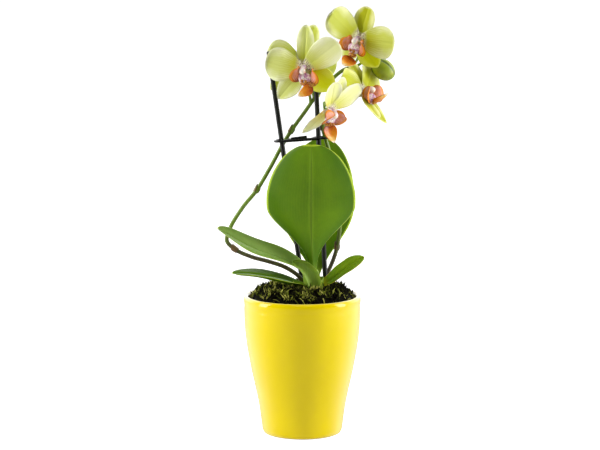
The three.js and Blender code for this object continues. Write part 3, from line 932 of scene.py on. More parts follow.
@dataclass(frozen=True)
class BarkFinish:
    """Bark chips: brown, with pale broken edges."""

    name: str = "bark_chips"
    stops: tuple = ((0.1, "2C1B0F"), (0.5, "50341D"), (0.95, "7D5A35"))
    grain: str = "24170D"

    def build(self) -> bpy.types.Material:
        """Builds the material."""
        s = Shader(self.name)
        cells = s.node("ShaderNodeTexVoronoi")
        cells.inputs["Scale"].default_value = 130.0
        s.feed(cells.inputs["Vector"], s.place((1, 1, 2)))
        grain = s.blotches(160.0, (1, 1, 8), 6.0)
        body = s.mix(s.math("MULTIPLY", grain, 0.6), s.ramp(cells.outputs["Color"], *self.stops), self.grain)
        s.put(Base_Color=body, Roughness=0.9)
        s.bump(s.math("ADD", grain, cells.outputs["Distance"]), 0.8, 1.0)
        return s.material


# ---------------------------------------------------------------- containers


@dataclass
class CoverPot:
    """The glazed outer pot, whose outlines are points of (radius, height)."""

    side: tuple = ((37.4, 4), (41, 29), (48.6, 65), (53.2, 95), (54.5, 125))
    wall: float = 4.5
    floor: float = 6.0
    foot: tuple = ((0, 0.9), (30, 0.9), (31.2, 0), (34.6, 0), (36.0, 0.7), (36.8, 2.2))
    lip_outside: tuple = ((54.4, 127.0), (54.0, 128.6), (53.2, 129.6), (52.2, 130.0))
    lip_inside: tuple = ((51.2, 129.8), (50.4, 129.0), (50.1, 127.6))
    groove_height: float = 120.5
    groove_depth: float = 0.28
    groove_width: float = 2.2
    rings: int = 90
    finish: GlazeFinish = GlazeFinish()

    def build(self) -> None:
        """Turns the pot's wall, with a rounded lip and a foot ring."""
        wall = Route([(r, 0, z) for r, z in self.side])
        outer = []
        for i in range(self.rings + 1):
            spot = wall.at(i / self.rings)
            groove = self.groove_depth * hill(spot.z - self.groove_height, self.groove_width)
            outer.append((spot.x - groove, spot.z))
        inner = [(r - self.wall, z) for r, z in reversed(outer) if z > self.floor + 2]
        corner = inner[-1][0]
        base = [(corner - 0.6, self.floor + 1.2), (corner - 2.4, self.floor), (0, self.floor)]
        piece = Piece("cover_pot_visual")
        piece.lathe([*self.foot, *outer, *self.lip_outside, *self.lip_inside, *inner, *base], steps=160)
        piece.finish([self.finish.build()], "pot_glaze", "cover_pot")


@dataclass
class GrowPot:
    """The thin plastic pot inside, which holds the bark."""

    top: float = 123.4
    top_radius: float = 46.5
    flange: float = 2.2
    base_radius: float = 29.5
    bottom: float = 6.4
    wall: float = 1.2
    floor: float = 2.2
    rolled: float = 1.4
    corner: float = 0.8
    finish: PlasticFinish = PlasticFinish("grow_pot_plastic", "2B2320", "3A302A", 0.42)

    def build(self) -> None:
        """Turns the pot with its rolled flange."""
        low, high = self.bottom, self.top
        narrow, wide = self.base_radius, self.top_radius
        profile = [
            (0, low),
            (narrow - self.corner, low),
            (narrow, low + self.corner),
            (wide, high - self.rolled),
            (wide + self.flange, high - self.rolled),
            (wide + self.flange, high),
            (wide - self.wall, high),
            (narrow - self.wall, low + self.floor),
            (0, low + self.floor),
        ]
        piece = Piece("grow_pot_visual")
        piece.lathe(profile, steps=96)
        piece.finish([self.finish.build()], "grow_pot_plastic", "grow_pot")


@dataclass
class Bark:
    """The bark mix, which keeps its CAD shape."""

    finish: BarkFinish = BarkFinish()

    def dress(self) -> None:
        """Gives the CAD node its bark material."""
        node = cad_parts["bark_mix"]
        node.data.materials.clear()
        node.data.materials.append(self.finish.build())
        log.info("bark_mix: dressed")


@dataclass
class Moss:
    """The cushion of dry moss: a lumpy base under curled strands and short sprigs."""

    bottom: float = 123.9
    edge: float = 1.6
    radius: float = 48.6
    crown: float = 137.6
    lump: float = 1.2
    rough: float = 2.6
    top_share: float = 0.8
    margin: float = 1.2
    strands: int = 900
    strand_length: tuple[float, float] = (5, 15)
    strand_hop: tuple[float, float] = (0.6, 3.4)
    strand_bend: float = 2.4
    strand_width: tuple[float, float] = (0.22, 0.6)
    shades: tuple = (0.05, 0.1, 0.2, 0.3, 0.45, 0.6, 0.9)
    sprigs: int = 1800
    sprig_length: tuple[float, float] = (1.5, 5.6)
    sprig_width: tuple[float, float] = (0.4, 1.5)
    patch_scale: float = 0.11
    patch_length: float = 0.9
    patch_shade: float = 1.2
    sunk: float = 0.6
    tufts: int = 40
    seed: int = 31
    finish: MossFinish = MossFinish()

    def height(self, x: float, y: float) -> float:
        """Gives the height of the cushion at a place."""
        share = min(1.0, math.hypot(x, y) / self.radius)
        rise = (self.crown - self.bottom - self.edge) * (1 - share**9)
        waves = math.sin(0.31 * x + 1.2) * math.cos(0.37 * y) + 0.6 * math.sin(0.7 * x - 0.55 * y)
        return self.bottom + self.edge + rise + self.lump * waves * (1 - share**3)

    def base(self, piece: Piece) -> None:
        """Adds the closed, lumpy cushion."""

        def surface(angle: float, share: float) -> Vector:
            """Runs over the top from the centre to the rim, then back underneath."""
            if share >= self.top_share:
                return around(angle, self.radius * (1 - share) / (1 - self.top_share), self.bottom)
            reach = self.radius * math.sin(share / self.top_share * math.pi / 2)
            spot = around(angle, reach)
            rough = self.rough * noise.fractal(spot * 0.2, 0.8, 2.0, 4) * (1 - (reach / self.radius) ** 6)
            spot.z = self.height(spot.x, spot.y) - self.sunk + rough
            return spot

        piece.tube(150, 90, surface)
        # The cushion's near-black tone is partly the moss's own dark brown and partly painted shade in the
        # gaps between the strands.
        for vert in piece.mesh.verts:
            vert[piece.rim] = 0.06 + 0.2 * noise.noise(vert.co * 0.25)

    def scatter(self, chance: random.Random, inset: float) -> Vector:
        """Picks a place on the cushion, evenly over its area."""
        angle = chance.uniform(0, math.tau)
        return around(angle, (self.radius - inset) * math.sqrt(chance.random()))

    def strand(self, piece: Piece, chance: random.Random) -> None:
        """Adds one curled strand that leaves the cushion and falls back to it."""
        spot = self.scatter(chance, 2.5)
        length = chance.uniform(*self.strand_length)
        heading = chance.uniform(0, math.tau)
        hop = chance.uniform(*self.strand_hop)
        bend = chance.uniform(-self.strand_bend, self.strand_bend)
        wide = chance.uniform(*self.strand_width)
        shade = chance.choice(self.shades) + chance.uniform(-0.05, 0.08)
        limit = self.radius - self.margin
        steps = 5
        points = []
        for i in range(steps):
            share = i / (steps - 1)
            spot += around(heading + bend * share, length / steps)
            if spot.length > limit:
                spot *= limit / spot.length
            lift = self.height(spot.x, spot.y) + hop * math.sin(math.pi * share) - 0.3
            points.append(spot + UP * lift)
        piece.rod(points, wide, shade)

    def sprig(self, piece: Piece, chance: random.Random) -> None:
        """Adds one short sprig that stands out of the cushion, longer and paler in some patches."""
        spot = self.scatter(chance, 3.0)
        lean = Vector((chance.uniform(-1, 1), chance.uniform(-1, 1), chance.uniform(0.5, 1.6))).normalized()
        patch = noise.noise((spot + UP * 5) * self.patch_scale)
        size = chance.uniform(*self.sprig_length) * (1.15 + self.patch_length * patch)
        # Painted light: the -0.004 * x term makes sprigs paler on the left, where the light falls, and darker
        # on the right.
        shade = 0.33 + self.patch_shade * patch - 0.004 * spot.x + chance.uniform(-0.3, 0.36)
        wide = chance.uniform(*self.sprig_width)
        root = spot + UP * (self.height(spot.x, spot.y) - self.sunk)
        tip = root + lean * size - UP * 0.3
        piece.rod([root, root + lean * size * 0.5, tip], wide, min(1.0, max(0.05, shade)))

    def build(self) -> None:
        """Builds the cushion with everything on it."""
        chance = random.Random(self.seed)
        piece = Piece("moss_visual")
        self.base(piece)
        for _ in range(self.tufts):
            tuft = Piece("tuft")
            for _ in range(self.strands // self.tufts):
                self.strand(tuft, chance)
            for _ in range(self.sprigs // self.tufts):
                self.sprig(tuft, chance)
            piece.absorb(tuft)
        bmesh.ops.recalc_face_normals(piece.mesh, faces=piece.mesh.faces[:])
        piece.finish([self.finish.build()], "moss", "moss_cushion")


# ---------------------------------------------------------------- the plant's foot and leaves


@dataclass
class PlantStem:
    """The short stem with the sheaths of old leaves round it, and the roots below.

    The profile's points are (share of the radius, height). A sheath is (heading, top, wide, spread), as its
    method says, and a root is its heading.
    """

    x: float = 10.5
    y: float = -1.5
    radius: float = 7.6
    foot: float = 104.0
    profile: tuple = ((0.6, 104.6), (0.9, 118), (1, 136), (0.97, 142), (0.85, 147.5), (0.5, 154), (0.02, 156))
    ridges: int = 5
    ridge: float = 0.04
    roots: tuple = (172, 214, 256, 298, 340)
    root_radius: float = 2.3
    root_depth: float = 34.0
    sheaths: tuple = (
        (200, 150, 80, 1.6),
        (20, 147, 80, 1.2),
        (265, 144, 66, 1.2),
        (320, 140, 60, 2.4),
        (110, 142, 70, 1.4),
    )
    sheath_foot: float = 128.0
    collar_route: tuple = (
        (13, -11, 130), (12, -13.4, 140), (9.4, -14.6, 150), (2, -15.2, 159.4), (-9, -15.4, 164.6),
    )
    collar_width: float = 6.6
    collar_fold: float = 4.0
    finish: CrownFinish = CrownFinish()

    def sheath(self, piece: Piece, heading: float, top: float, wide: float, spread: float) -> None:
        """Adds one upright sheath that hugs the stem.

        Args:
            piece: the piece to add to.
            heading: the side it is on, in degrees from +X.
            top: the height of its tip.
            wide: half of the angle that it wraps, in degrees.
            spread: how far its tip stands off the stem.
        """

        def sheet(u: float, t: float) -> tuple[Vector, Vector, float]:
            """Gives the sheath's mid-surface."""
            out = around(math.radians(heading + wide * u * rounded(t, 0.55)), 1)
            reach = self.radius + 0.5 + spread * t**2 + 0.5 * (1 - u * u) * t
            foot = Vector((self.x, self.y, self.sheath_foot + (top - self.sheath_foot) * t))
            return foot + out * reach, out, 0.45 * (1 - 0.6 * abs(u)) * (1 - 0.5 * t)

        piece.blade(14, 14, sheet, lambda u, t: 0.0)

    def collar(self, piece: Piece) -> None:
        """Adds the pale sheath of the long leaf, which climbs to the left in front of the stem."""
        route = Route(self.collar_route)

        def sheet(u: float, t: float) -> tuple[Vector, Vector, float]:
            """Gives the sheath's mid-surface, folded back round the stem."""
            ahead = route.along(t)
            side = ahead.cross(Vector((0, 1, 0))).normalized()
            front = side.cross(ahead)
            wide = self.collar_width * rounded(t, 0.45)
            point = route.at(t) + side * (u * wide) - front * (self.collar_fold * u * u)
            return point, front, 0.7 * (1 - 0.5 * abs(u)) * (1 - 0.5 * t)

        piece.blade(20, 30, sheet, lambda u, t: 0.0)

    def root(self, number: int, heading: float) -> Route:
        """Gives the path of one root, which leaves the stem and sinks into the bark."""
        drop = self.root_depth + 9 * (number % 3)
        odd = number % 2
        steps = (
            (2, 6),
            (12, 2 - 0.1 * drop),
            (18 + 3 * odd, -0.5 * drop),
            (16, -drop),
            (12 - 4 * odd, -1.5 * drop),
        )
        middle = Vector((self.x, self.y, self.foot))
        return Route([middle + around(math.radians(heading), reach, height) for reach, height in steps])

    def build(self) -> None:
        """Builds the stem, its sheaths and its roots."""
        piece = Piece("plant_stem_visual")
        middle = Vector((self.x, self.y, 0))
        profile = ((0.02, self.foot), *self.profile)
        heights = Route([(share * self.radius, 0, z) for share, z in profile])

        def surface(angle: float, share: float) -> Vector:
            """Gives the stem's surface with slight ridges."""
            at = heights.at(share)
            swell = 1 + self.ridge * math.sin(self.ridges * angle + at.z * 0.2)
            return middle + around(angle, at.x * swell if 0 < share < 1 else 0.0, at.z)

        def root_radius(share: float) -> float:
            """Gives a root's radius, thinner towards its tip."""
            return self.root_radius * (1 - 0.4 * share**3)

        piece.tube(40, 40, surface)
        for heading, top, wide, spread in self.sheaths:
            self.sheath(piece, heading, top, wide, spread)
        self.collar(piece)
        for number, heading in enumerate(self.roots):
            sweep(piece, self.root(number, heading), root_radius, 14, 32)
        piece.finish([self.finish.build()], "root", "plant_stem_and_roots")


@dataclass
class Leaf:
    """One thick leaf, laid along its midrib, with its fold at the foot and further on, in degrees."""

    name: str
    midrib: tuple
    up: tuple[float, float, float]
    half_width: float
    petiole: float
    fold: tuple[float, float]
    curl: float
    widest: float = 0.52
    rise: float = 1.35
    thickness: float = 1.8
    waves: float = 0.9
    groove: float = 0.7
    groove_width: float = 1.5
    seed: float = 0.0
    finish: LeafFinish = LeafFinish("leaf_waxy")

    def width(self, t: float) -> float:
        """Gives half the leaf's width at a share of its length."""
        if t < self.widest:
            swell = math.sin(math.pi / 2 * t / self.widest) ** self.rise
            return self.petiole + (self.half_width - self.petiole) * swell
        return self.half_width * rounded(t, self.widest)

    def build(self) -> None:
        """Builds the leaf with a grooved midrib, soft waves and a rounded margin."""
        midrib = Route(self.midrib)
        up = Vector(self.up).normalized()

        def sheet(u: float, t: float) -> tuple[Vector, Vector, float]:
            """Gives the leaf's mid-surface."""
            ahead = midrib.along(t)
            side = up.cross(ahead).normalized()
            normal = ahead.cross(side)
            fold = self.fold[0] + (self.fold[1] - self.fold[0]) * min(1.0, 1.6 * t)
            bend = math.radians(fold - self.curl * abs(u))
            out = u * self.width(t)
            wave = noise.noise(Vector((u * 1.4, t * 3.2, self.seed))) * min(1.0, 5 * t) * (0.35 + abs(u))
            groove = hill(out, self.groove_width) * smooth(0.0, 0.12, t) * (1 - smooth(0.9, 1.0, t))
            rise = abs(out) * math.sin(bend) + self.waves * wave - self.groove * groove
            point = midrib.at(t) + side * (out * math.cos(bend)) + normal * rise
            lean = math.copysign(bend, u) if abs(u) > 0.02 else 0.0
            half = self.thickness / 2 * (1 - 0.55 * abs(u)) * thinned(u, 8) * (1 - t**12)
            return point, normal * math.cos(lean) - side * math.sin(lean), half

        def rim(u: float, t: float) -> float:
            """Gives 1 at the leaf's margin."""
            return max(abs(u), smooth(0.9, 1.0, t))

        piece = Piece(f"{self.name}_visual")
        piece.blade(44, 84, sheet, rim)
        piece.finish([self.finish.build()], "leaf", self.name)


# ---------------------------------------------------------------- stakes, clip and flower stems


@dataclass
class Stake:
    """A plastic rod that the flower stem is tied to, leaning in a plane from (x, z) to (x, z)."""

    name: str
    top: tuple[float, float]
    through: tuple[float, float]
    depth: float = 8.0
    foot: float = 24.0
    radius: float = 2.2
    rounding: float = 1.4
    finish: PlasticFinish = PlasticFinish("stake_plastic", "070806", "12150F", 0.36)

    def build(self) -> None:
        """Builds the rod with rounded ends."""
        slope = (self.top[0] - self.through[0]) / (self.top[1] - self.through[1])
        low = Vector((self.top[0] + slope * (self.foot - self.top[1]), self.depth, self.foot))
        high = Vector((self.top[0], self.depth, self.top[1]))
        route = Route([low, low.lerp(high, 0.5), high])
        length = (high - low).length

        def radius(share: float) -> float:
            """Rounds both ends."""
            near = min(share, 1 - share) * length / self.rounding
            return self.radius * rounded(1 - min(1.0, near), 0)

        piece = Piece(f"{self.name}_visual")
        sweep(piece, route, radius, 24, 900)
        piece.finish([self.finish.build()], "stake_plastic", self.name)


@dataclass
class Clip:
    """The plastic clip that holds both stakes: a bar, a loop at each end, a latch and a knob."""

    height: float = 274.6
    slope: float = 0.073  # radians
    half_length: float = 18.0
    front: float = 4.2
    bar_radius: float = 1.4
    loops: tuple = ((-9.6, -25.2), (9.2, 26.2))
    loop_radius: float = 1.0
    loop_side: float = 13.4
    loop_back: float = 17.0
    latch: tuple[float, float, float] = (15, 1.6, 2.6)
    latch_at: tuple[float, float, float] = (-3, 4.1, 2)
    latch_slope: float = 0.06  # radians
    latch_rounding: float = 0.35
    knob: tuple[float, float, float] = (1.6, 1.4, 1.6)
    knob_at: tuple[float, float, float] = (-20.5, 4.2, 1.6)
    finish: PlasticFinish = PlasticFinish("clip_plastic", "0B0B0A", "181816", 0.3, (1, 1, 1))

    def loop(self, near: float, far: float) -> Route:
        """Gives the path of one loop, from near the middle of the bar out round a stake and back."""
        sign = math.copysign(1, far - near)
        inset = 3 * sign
        path = (
            (near + 2 * sign, self.front),
            (far - inset, self.front - 0.4),
            (far, self.front + 2.8),
            (far, self.loop_side),
            (far - inset, self.loop_back),
            (near + inset, self.loop_back),
            (near, self.loop_side),
            (near, self.front),
        )
        return Route([(x, y, 0) for x, y in path])

    def latch_piece(self) -> Piece:
        """Makes the bevelled latch that lies over the bar."""
        piece = Piece("latch")
        place = Matrix.Translation(self.latch_at) @ Matrix.Rotation(-self.latch_slope, 4, "Y")
        bmesh.ops.create_cube(piece.mesh, size=1.0)
        bmesh.ops.scale(piece.mesh, vec=self.latch, verts=piece.mesh.verts[:])
        bmesh.ops.bevel(
            piece.mesh,
            geom=piece.mesh.edges[:],
            offset=self.latch_rounding,
            affect="EDGES",
            segments=3,
            profile=0.5,
            material=-1,
        )
        bmesh.ops.transform(piece.mesh, matrix=place, verts=piece.mesh.verts[:])
        return piece

    def build(self) -> None:
        """Builds the clip flat, then tilts it up to its place."""
        piece = Piece("stake_clip_visual")
        bar = Route([(share * self.half_length, self.front, 0) for share in (-1, -0.5, 0.5, 1)])
        sweep(piece, bar, lambda share: self.bar_radius, 18, 24)
        for near, far in self.loops:
            sweep(piece, self.loop(near, far), lambda share: self.loop_radius, 16, 80)
        piece.absorb(self.latch_piece())
        piece.ball(self.knob_at, self.knob)
        tilt = Matrix.Translation(UP * self.height) @ Matrix.Rotation(-self.slope, 4, "Y")
        bmesh.ops.transform(piece.mesh, matrix=tilt, verts=piece.mesh.verts[:])
        piece.finish([self.finish.build()], "clip_plastic", "stake_clip")


@dataclass
class FlowerStem:
    """A flower stem with its joints, each a point and a radius, its bracts and its flower stalks."""

    name: str
    route: tuple
    joints: tuple
    stalks: tuple
    radius: float = 2.0
    stalk_radius: float = 1.2
    joint_reach: float = 3.2
    joint_shade: float = 0.75
    finish: StemFinish = StemFinish("flower_stem_skin")

    def bract(self, piece: Piece, route: Route, share: float, size: float) -> None:
        """Adds the small pointed sheath that hugs the stem above a joint."""
        length = size * 3.0
        ahead = route.along(share)
        side = ahead.orthogonal().normalized()
        front = ahead.cross(side)

        def sheet(u: float, t: float) -> tuple[Vector, Vector, float]:
            """Gives the bract's mid-surface."""
            angle = 2.3 * u * rounded(t, 0)
            out = side * math.sin(angle) + front * math.cos(angle)
            reach = self.radius + 0.55 + 0.5 * t
            spot = route.at(share + (t - 0.25) * length / route.length)
            return spot + out * reach, out, 0.28 * (1 - 0.5 * abs(u))

        piece.blade(10, 12, sheet, lambda u, t: self.joint_shade)

    def build(self) -> None:
        """Builds the stem as one piece."""
        piece = Piece(f"{self.name}_visual")
        main = Route(self.route)
        spots = [(main.nearest(point), size) for point, size in self.joints]

        def radius(share: float) -> float:
            """Gives the stem's radius, swollen at its joints."""
            swell = 0.0
            for at, size in spots:
                swell += (size - self.radius) * hill((share - at) * main.length, self.joint_reach) ** 2
            return self.radius * (1 - 0.12 * share) + swell

        def stalk_radius(share: float) -> float:
            """Gives a stalk's radius, wider at both ends."""
            return self.stalk_radius * (1 + 0.35 * (2 * share - 1) ** 4)

        sweep(piece, main, radius, 22, 260)
        for at, size in spots:
            self.bract(piece, main, at, size)
        for stalk in self.stalks:
            sweep(piece, Route(stalk), stalk_radius, 16, 60)
        piece.finish([self.finish.build()], "flower_stem", self.name)


@dataclass
class Bud:
    """The closed bud at the end of the left stem."""

    centre: tuple[float, float, float] = (75, 21.5, 338.5)
    radii: tuple[float, float, float] = (9.5, 9.0, 12.2)
    turn: float = 128.0
    seam_depth: float = 0.075
    seam_width: float = 0.16
    seam_shade_width: float = 0.2
    finish: BudFinish = BudFinish()

    def seam(self, angle: float, width: float) -> float:
        """Gives 1 on the three seams and 0 between them."""
        return hill(math.sin(1.5 * angle + 0.4), width)

    def build(self) -> None:
        """Builds the bud with the seams between its sepals."""
        place = Matrix.Translation(self.centre) @ turned(self.turn, "Y")
        wide, deep, tall = self.radii

        def surface(angle: float, share: float) -> Vector:
            """Gives the bud's surface, with three sunk seams."""
            tilt = math.pi * share
            if share in (0, 1):
                return place @ Vector((0, 0, tall * math.cos(tilt)))
            sunk = self.seam_depth * self.seam(angle, self.seam_width) * math.sin(tilt) ** 0.6
            spot = around(angle, math.sin(tilt) * (1 - sunk), math.cos(tilt))
            return place @ Vector((spot.x * wide, spot.y * deep, spot.z * tall))

        piece = Piece("bud_visual")
        piece.tube(96, 48, surface)
        inverse = place.inverted()
        # Painted shade: the rim value marks the seams, which the bud finish darkens.
        for vert in piece.mesh.verts:
            spot = inverse @ vert.co
            vert[piece.rim] = self.seam(math.atan2(spot.y / deep, spot.x / wide), self.seam_shade_width)
        piece.finish([self.finish.build()], "bud", "bud")


# ---------------------------------------------------------------- flowers


class Kind(Enum):
    """The two sorts of tepal."""

    SEPAL = "sepal"
    PETAL = "petal"


class LipSlot(IntEnum):
    """The material slots of a lip."""

    SIDE_LOBE = 0
    MIDDLE_LOBE = 1
    CALLUS = 2
    THROAT = 3


@dataclass(frozen=True)
class Cut:
    """How a sort of tepal is cut and curved."""

    start: float
    depth: float
    claw: float
    widest: float
    rise: float
    round_off: float
    bend: float
    cup: float
    ripple: float
    fall_off: float = 0.5
    foot: float = 0.3
    groove: float = 0.35
    half_thickness: float = 0.3


CUTS = {
    Kind.SEPAL: Cut(
        start=3.0, depth=1.6, claw=1.0, widest=0.55, rise=0.9, round_off=1.9, bend=-12.0, cup=0.8, ripple=1.2
    ),
    Kind.PETAL: Cut(
        start=7.0, depth=-0.6, claw=5.0, widest=0.6, rise=0.95, round_off=2.3, bend=-4.0, cup=1.4, ripple=2.2
    ),
}


@dataclass
class Tepal:
    """One sepal or petal, drawn upright and then turned about its flower."""

    kind: Kind
    length: float
    width: float
    turn: float
    lift: float = 0.0
    bend: float | None = None
    cup: float | None = None
    pointed: bool = False

    @property
    def cut(self) -> Cut:
        """Gives the cut of its sort, with its own bend, cup and tip."""
        cut = CUTS[self.kind]
        if self.bend is not None:
            cut = replace(cut, bend=self.bend)
        if self.cup is not None:
            cut = replace(cut, cup=self.cup)
        if self.pointed:
            cut = replace(cut, round_off=1.5, fall_off=0.72)
        return cut

    def half_width(self, cut: Cut, t: float) -> float:
        """Gives half the tepal's width at a share of its length."""
        if t > cut.widest:
            share = max(0.0, 1 - ((t - cut.widest) / (1 - cut.widest)) ** cut.round_off) ** cut.fall_off
        else:
            share = cut.foot + (1 - cut.foot) * math.sin(math.pi / 2 * t / cut.widest) ** cut.rise
        return self.width / 2 * share * smooth(-0.02, 0.03, t)

    def sheet(self, seed: float) -> Sheet:
        """Gives the mid-surface in the flower's own frame, where the flower looks along -Y."""
        cut = self.cut
        turn = turned(self.turn, "Y")
        place = Matrix.Translation(turn @ Vector((0, cut.depth, cut.start))) @ turn
        lift, arc = math.radians(self.lift), math.radians(cut.bend)

        def sheet(u: float, t: float) -> tuple[Vector, Vector, float]:
            """Gives the tepal's mid-surface."""
            across = u * self.half_width(cut, t)
            forward, reach, back = bent(self.length, lift, arc, t)
            ripple = cut.ripple * u * u * noise.noise(Vector((u * 1.3, t * 2.6, seed)))
            groove = cut.groove * hill(across, 1.0) * smooth(0.02, 0.2, t) * (1 - smooth(0.8, 1.0, t))
            sunk = ripple * smooth(0.1, 0.5, t) + groove - cut.cup * u * u * smooth(0.0, 0.35, t)
            point = Vector((across, -forward, reach - cut.claw * (1 - t) ** 2)) + back * sunk
            half = cut.half_thickness * thinned(u, 6) * (1 - t**16)
            return place @ point, (place.to_3x3() @ back).normalized(), half

        return sheet


@dataclass(frozen=True)
class Lobe:
    """One lobe of a lip, drawn upright and then turned to its place.

    A positive cup brings its margins forward and a negative one back. The taper makes it narrower towards its
    tip. Lift and bend are in degrees.
    """

    length: float
    width: float
    lift: float
    bend: float
    cup: float
    taper: float
    thickness: float

    def sheet(self, place: Matrix, seed: float) -> Sheet:
        """Gives the mid-surface in the flower's own frame."""
        lift, bend = math.radians(self.lift), math.radians(self.bend)

        def sheet(u: float, t: float) -> tuple[Vector, Vector, float]:
            """Gives the lobe's mid-surface."""
            shape = math.sin(math.pi * min(1.0, t) ** 0.75) ** 0.55 if 0 < t < 1 else 0.0
            across = u * self.width / 2 * shape * (1 - self.taper * t * t)
            forward, reach, back = bent(self.length, lift, bend, t)
            wave = 0.5 * noise.noise(Vector((u * 1.5, t * 3, seed + self.length)))
            point = Vector((across, -forward, reach)) + back * (u * u * (wave - self.cup * shape))
            half = self.thickness / 2 * thinned(u, 6) * (1 - t**14)
            return place @ point, (place.to_3x3() @ back).normalized(), half

        return sheet


def rim_of_blade(u: float, t: float) -> float:
    """Gives 1 at a blade's margin."""
    return max(abs(u), smooth(0.86, 1.0, t))


@dataclass
class Flower:
    """One flower: three sepals, two petals, a lip and a column.

    Its pose is a place, then a yaw, a nod and a roll in degrees. Its own frame looks along -Y. The sizes of
    its upper sepal, lower sepals and petals are (length, width), the left one first. The angles low and wing
    say how far the lower sepals and the petals are turned from upright, again the left one first.
    """

    name: str
    at: tuple[float, float, float]
    yaw: float
    nod: float
    roll: float
    upper: tuple[float, float]
    lower: tuple[tuple[float, float], tuple[float, float]]
    petals: tuple[tuple[float, float], tuple[float, float]]
    low: tuple[float, float]
    wing: tuple[float, float]
    finish: TepalFinish
    upper_bend: float | None = None
    lower_bend: float | None = None
    lower_lift: tuple[float, float] = (0.0, 0.0)
    lower_cup: float | None = None
    # Lit and shaded copies of the finish for single tepals: painted light and painted shade.
    special: dict[str, TepalFinish] = field(default_factory=dict)
    lip_shift: float = 0.0
    lip_roll: float = 0.0
    tongue_roll: float = 0.0
    tongue_shift: float = 0.0
    tongue_pitch: float = 130.0
    tongue_drop: float = 0.0
    tongue_width: float = 14.5
    side_at: tuple[float, float, float] = (3.8, -6.2, -10.4)
    side_turn: float = 40.0
    side_open: float = 42.0
    tongue_at: tuple[float, float, float] = (0, -7.4, -12)
    side_lobe: Lobe = Lobe(length=16, width=14.5, lift=6, bend=62, cup=-3.6, taper=0.0, thickness=1.1)
    middle_lobe: Lobe = Lobe(length=18, width=14.5, lift=0.001, bend=-22, cup=-2.0, taper=0.3, thickness=1.5)
    column: tuple = ((0, 2.0, 0.6), (0, -2, 2.0), (0, -6, 2.0), (0, -9.4, 0.2), (0, -11.0, -2.6))
    column_radius: float = 2.4
    seed: float = 0.0

    @property
    def pose(self) -> Matrix:
        """Gives the flower's place and turn."""
        turn = turned(self.yaw, "Z") @ turned(self.nod, "X") @ turned(self.roll, "Y")
        return Matrix.Translation(self.at) @ turn

    def tepals(self) -> dict[str, Tepal]:
        """Lists the flower's tepals by the last part of their CAD names."""
        own = {"bend": self.lower_bend, "cup": self.lower_cup, "pointed": True}
        left, right = self.lower_lift
        return {
            "dorsal_sepal": Tepal(Kind.SEPAL, *self.upper, 0, bend=self.upper_bend),
            "left_sepal": Tepal(Kind.SEPAL, *self.lower[0], -self.low[0], left, **own),
            "right_sepal": Tepal(Kind.SEPAL, *self.lower[1], self.low[1], right, **own),
            "left_petal": Tepal(Kind.PETAL, *self.petals[0], -self.wing[0]),
            "right_petal": Tepal(Kind.PETAL, *self.petals[1], self.wing[1]),
        }

    def place(self, piece: Piece) -> None:
        """Moves a piece from the flower's own frame to its place."""
        bmesh.ops.transform(piece.mesh, matrix=self.pose, verts=piece.mesh.verts[:])

    def build_tepal(self, part: str, tepal: Tepal, material: bpy.types.Material, number: int) -> None:
        """Builds one tepal."""
        piece = Piece(f"{self.name}_{part}_visual")
        piece.blade(34, 40, tepal.sheet(self.seed + 7.3 * number), rim_of_blade)
        self.place(piece)
        piece.finish([material], "tepal", f"{self.name}_{part}")

    def build_lip(self, materials: Sequence[bpy.types.Material]) -> None:
        """Builds the lip: two side lobes, a middle lobe, the throat and the callus between them."""
        piece = Piece(f"{self.name}_lip_visual")
        whole = Matrix.Translation((self.lip_shift, 0, 0)) @ turned(self.lip_roll, "Y")
        aside, drop = self.tongue_shift, self.tongue_drop
        for sign in (-1, 1):
            x, y, z = self.side_at
            place = whole @ Matrix.Translation((sign * x, y, z))
            place = place @ turned(sign * self.side_turn, "Y") @ turned(-sign * self.side_open, "Z")
            piece.blade(24, 28, self.side_lobe.sheet(place, self.seed), rim_of_blade, LipSlot.SIDE_LOBE)
        tongue = replace(self.middle_lobe, width=self.tongue_width)
        place = whole @ Matrix.Translation(Vector(self.tongue_at) + Vector((aside, 0, -drop)))
        place = place @ turned(self.tongue_roll, "Y") @ turned(self.tongue_pitch, "X")
        piece.blade(26, 32, tongue.sheet(place, self.seed), rim_of_blade, LipSlot.MIDDLE_LOBE)
        for at, radii, slot in (
            ((0, -6.2, -7.6), (6.2, 3.2, 5.6), LipSlot.THROAT),
            ((aside / 2, -7.8, -11 - drop / 2), (3.6 + abs(aside) / 2, 2.6, 2.4), LipSlot.CALLUS),
            ((-1.7, -10.2, -9.2), (1.4, 1.6, 1.5), LipSlot.CALLUS),
            ((1.7, -10.2, -9.2), (1.4, 1.6, 1.5), LipSlot.CALLUS),
        ):
            piece.ball(whole @ Vector(at), radii, slot)
        self.place(piece)
        piece.finish(materials, "lip", f"{self.name}_lip")

    def build_column(self, material: bpy.types.Material) -> None:
        """Builds the column with its hooded cap."""
        piece = Piece(f"{self.name}_column_visual")

        def radius(share: float) -> float:
            """Gives the column's radius: a foot, a waist and a cap."""
            cap = 0.75 * hill(share - 0.78, 0.16)
            waist = 0.3 * math.sin(math.pi * share)
            return (self.column_radius + cap - waist) * rounded(share, 0.82)

        sweep(piece, Route(self.column), radius, 28, 48)
        self.place(piece)
        piece.finish([material], "column", f"{self.name}_column")

    def build(self, lip: Sequence[bpy.types.Material], column: bpy.types.Material) -> None:
        """Builds the whole flower.

        Args:
            lip: the lip's four materials.
            column: the column's material.
        """
        for number, (part, tepal) in enumerate(self.tepals().items()):
            self.build_tepal(part, tepal, self.special.get(part, self.finish).build(), number)
        self.build_lip(lip)
        self.build_column(column)


# ---------------------------------------------------------------- the studio


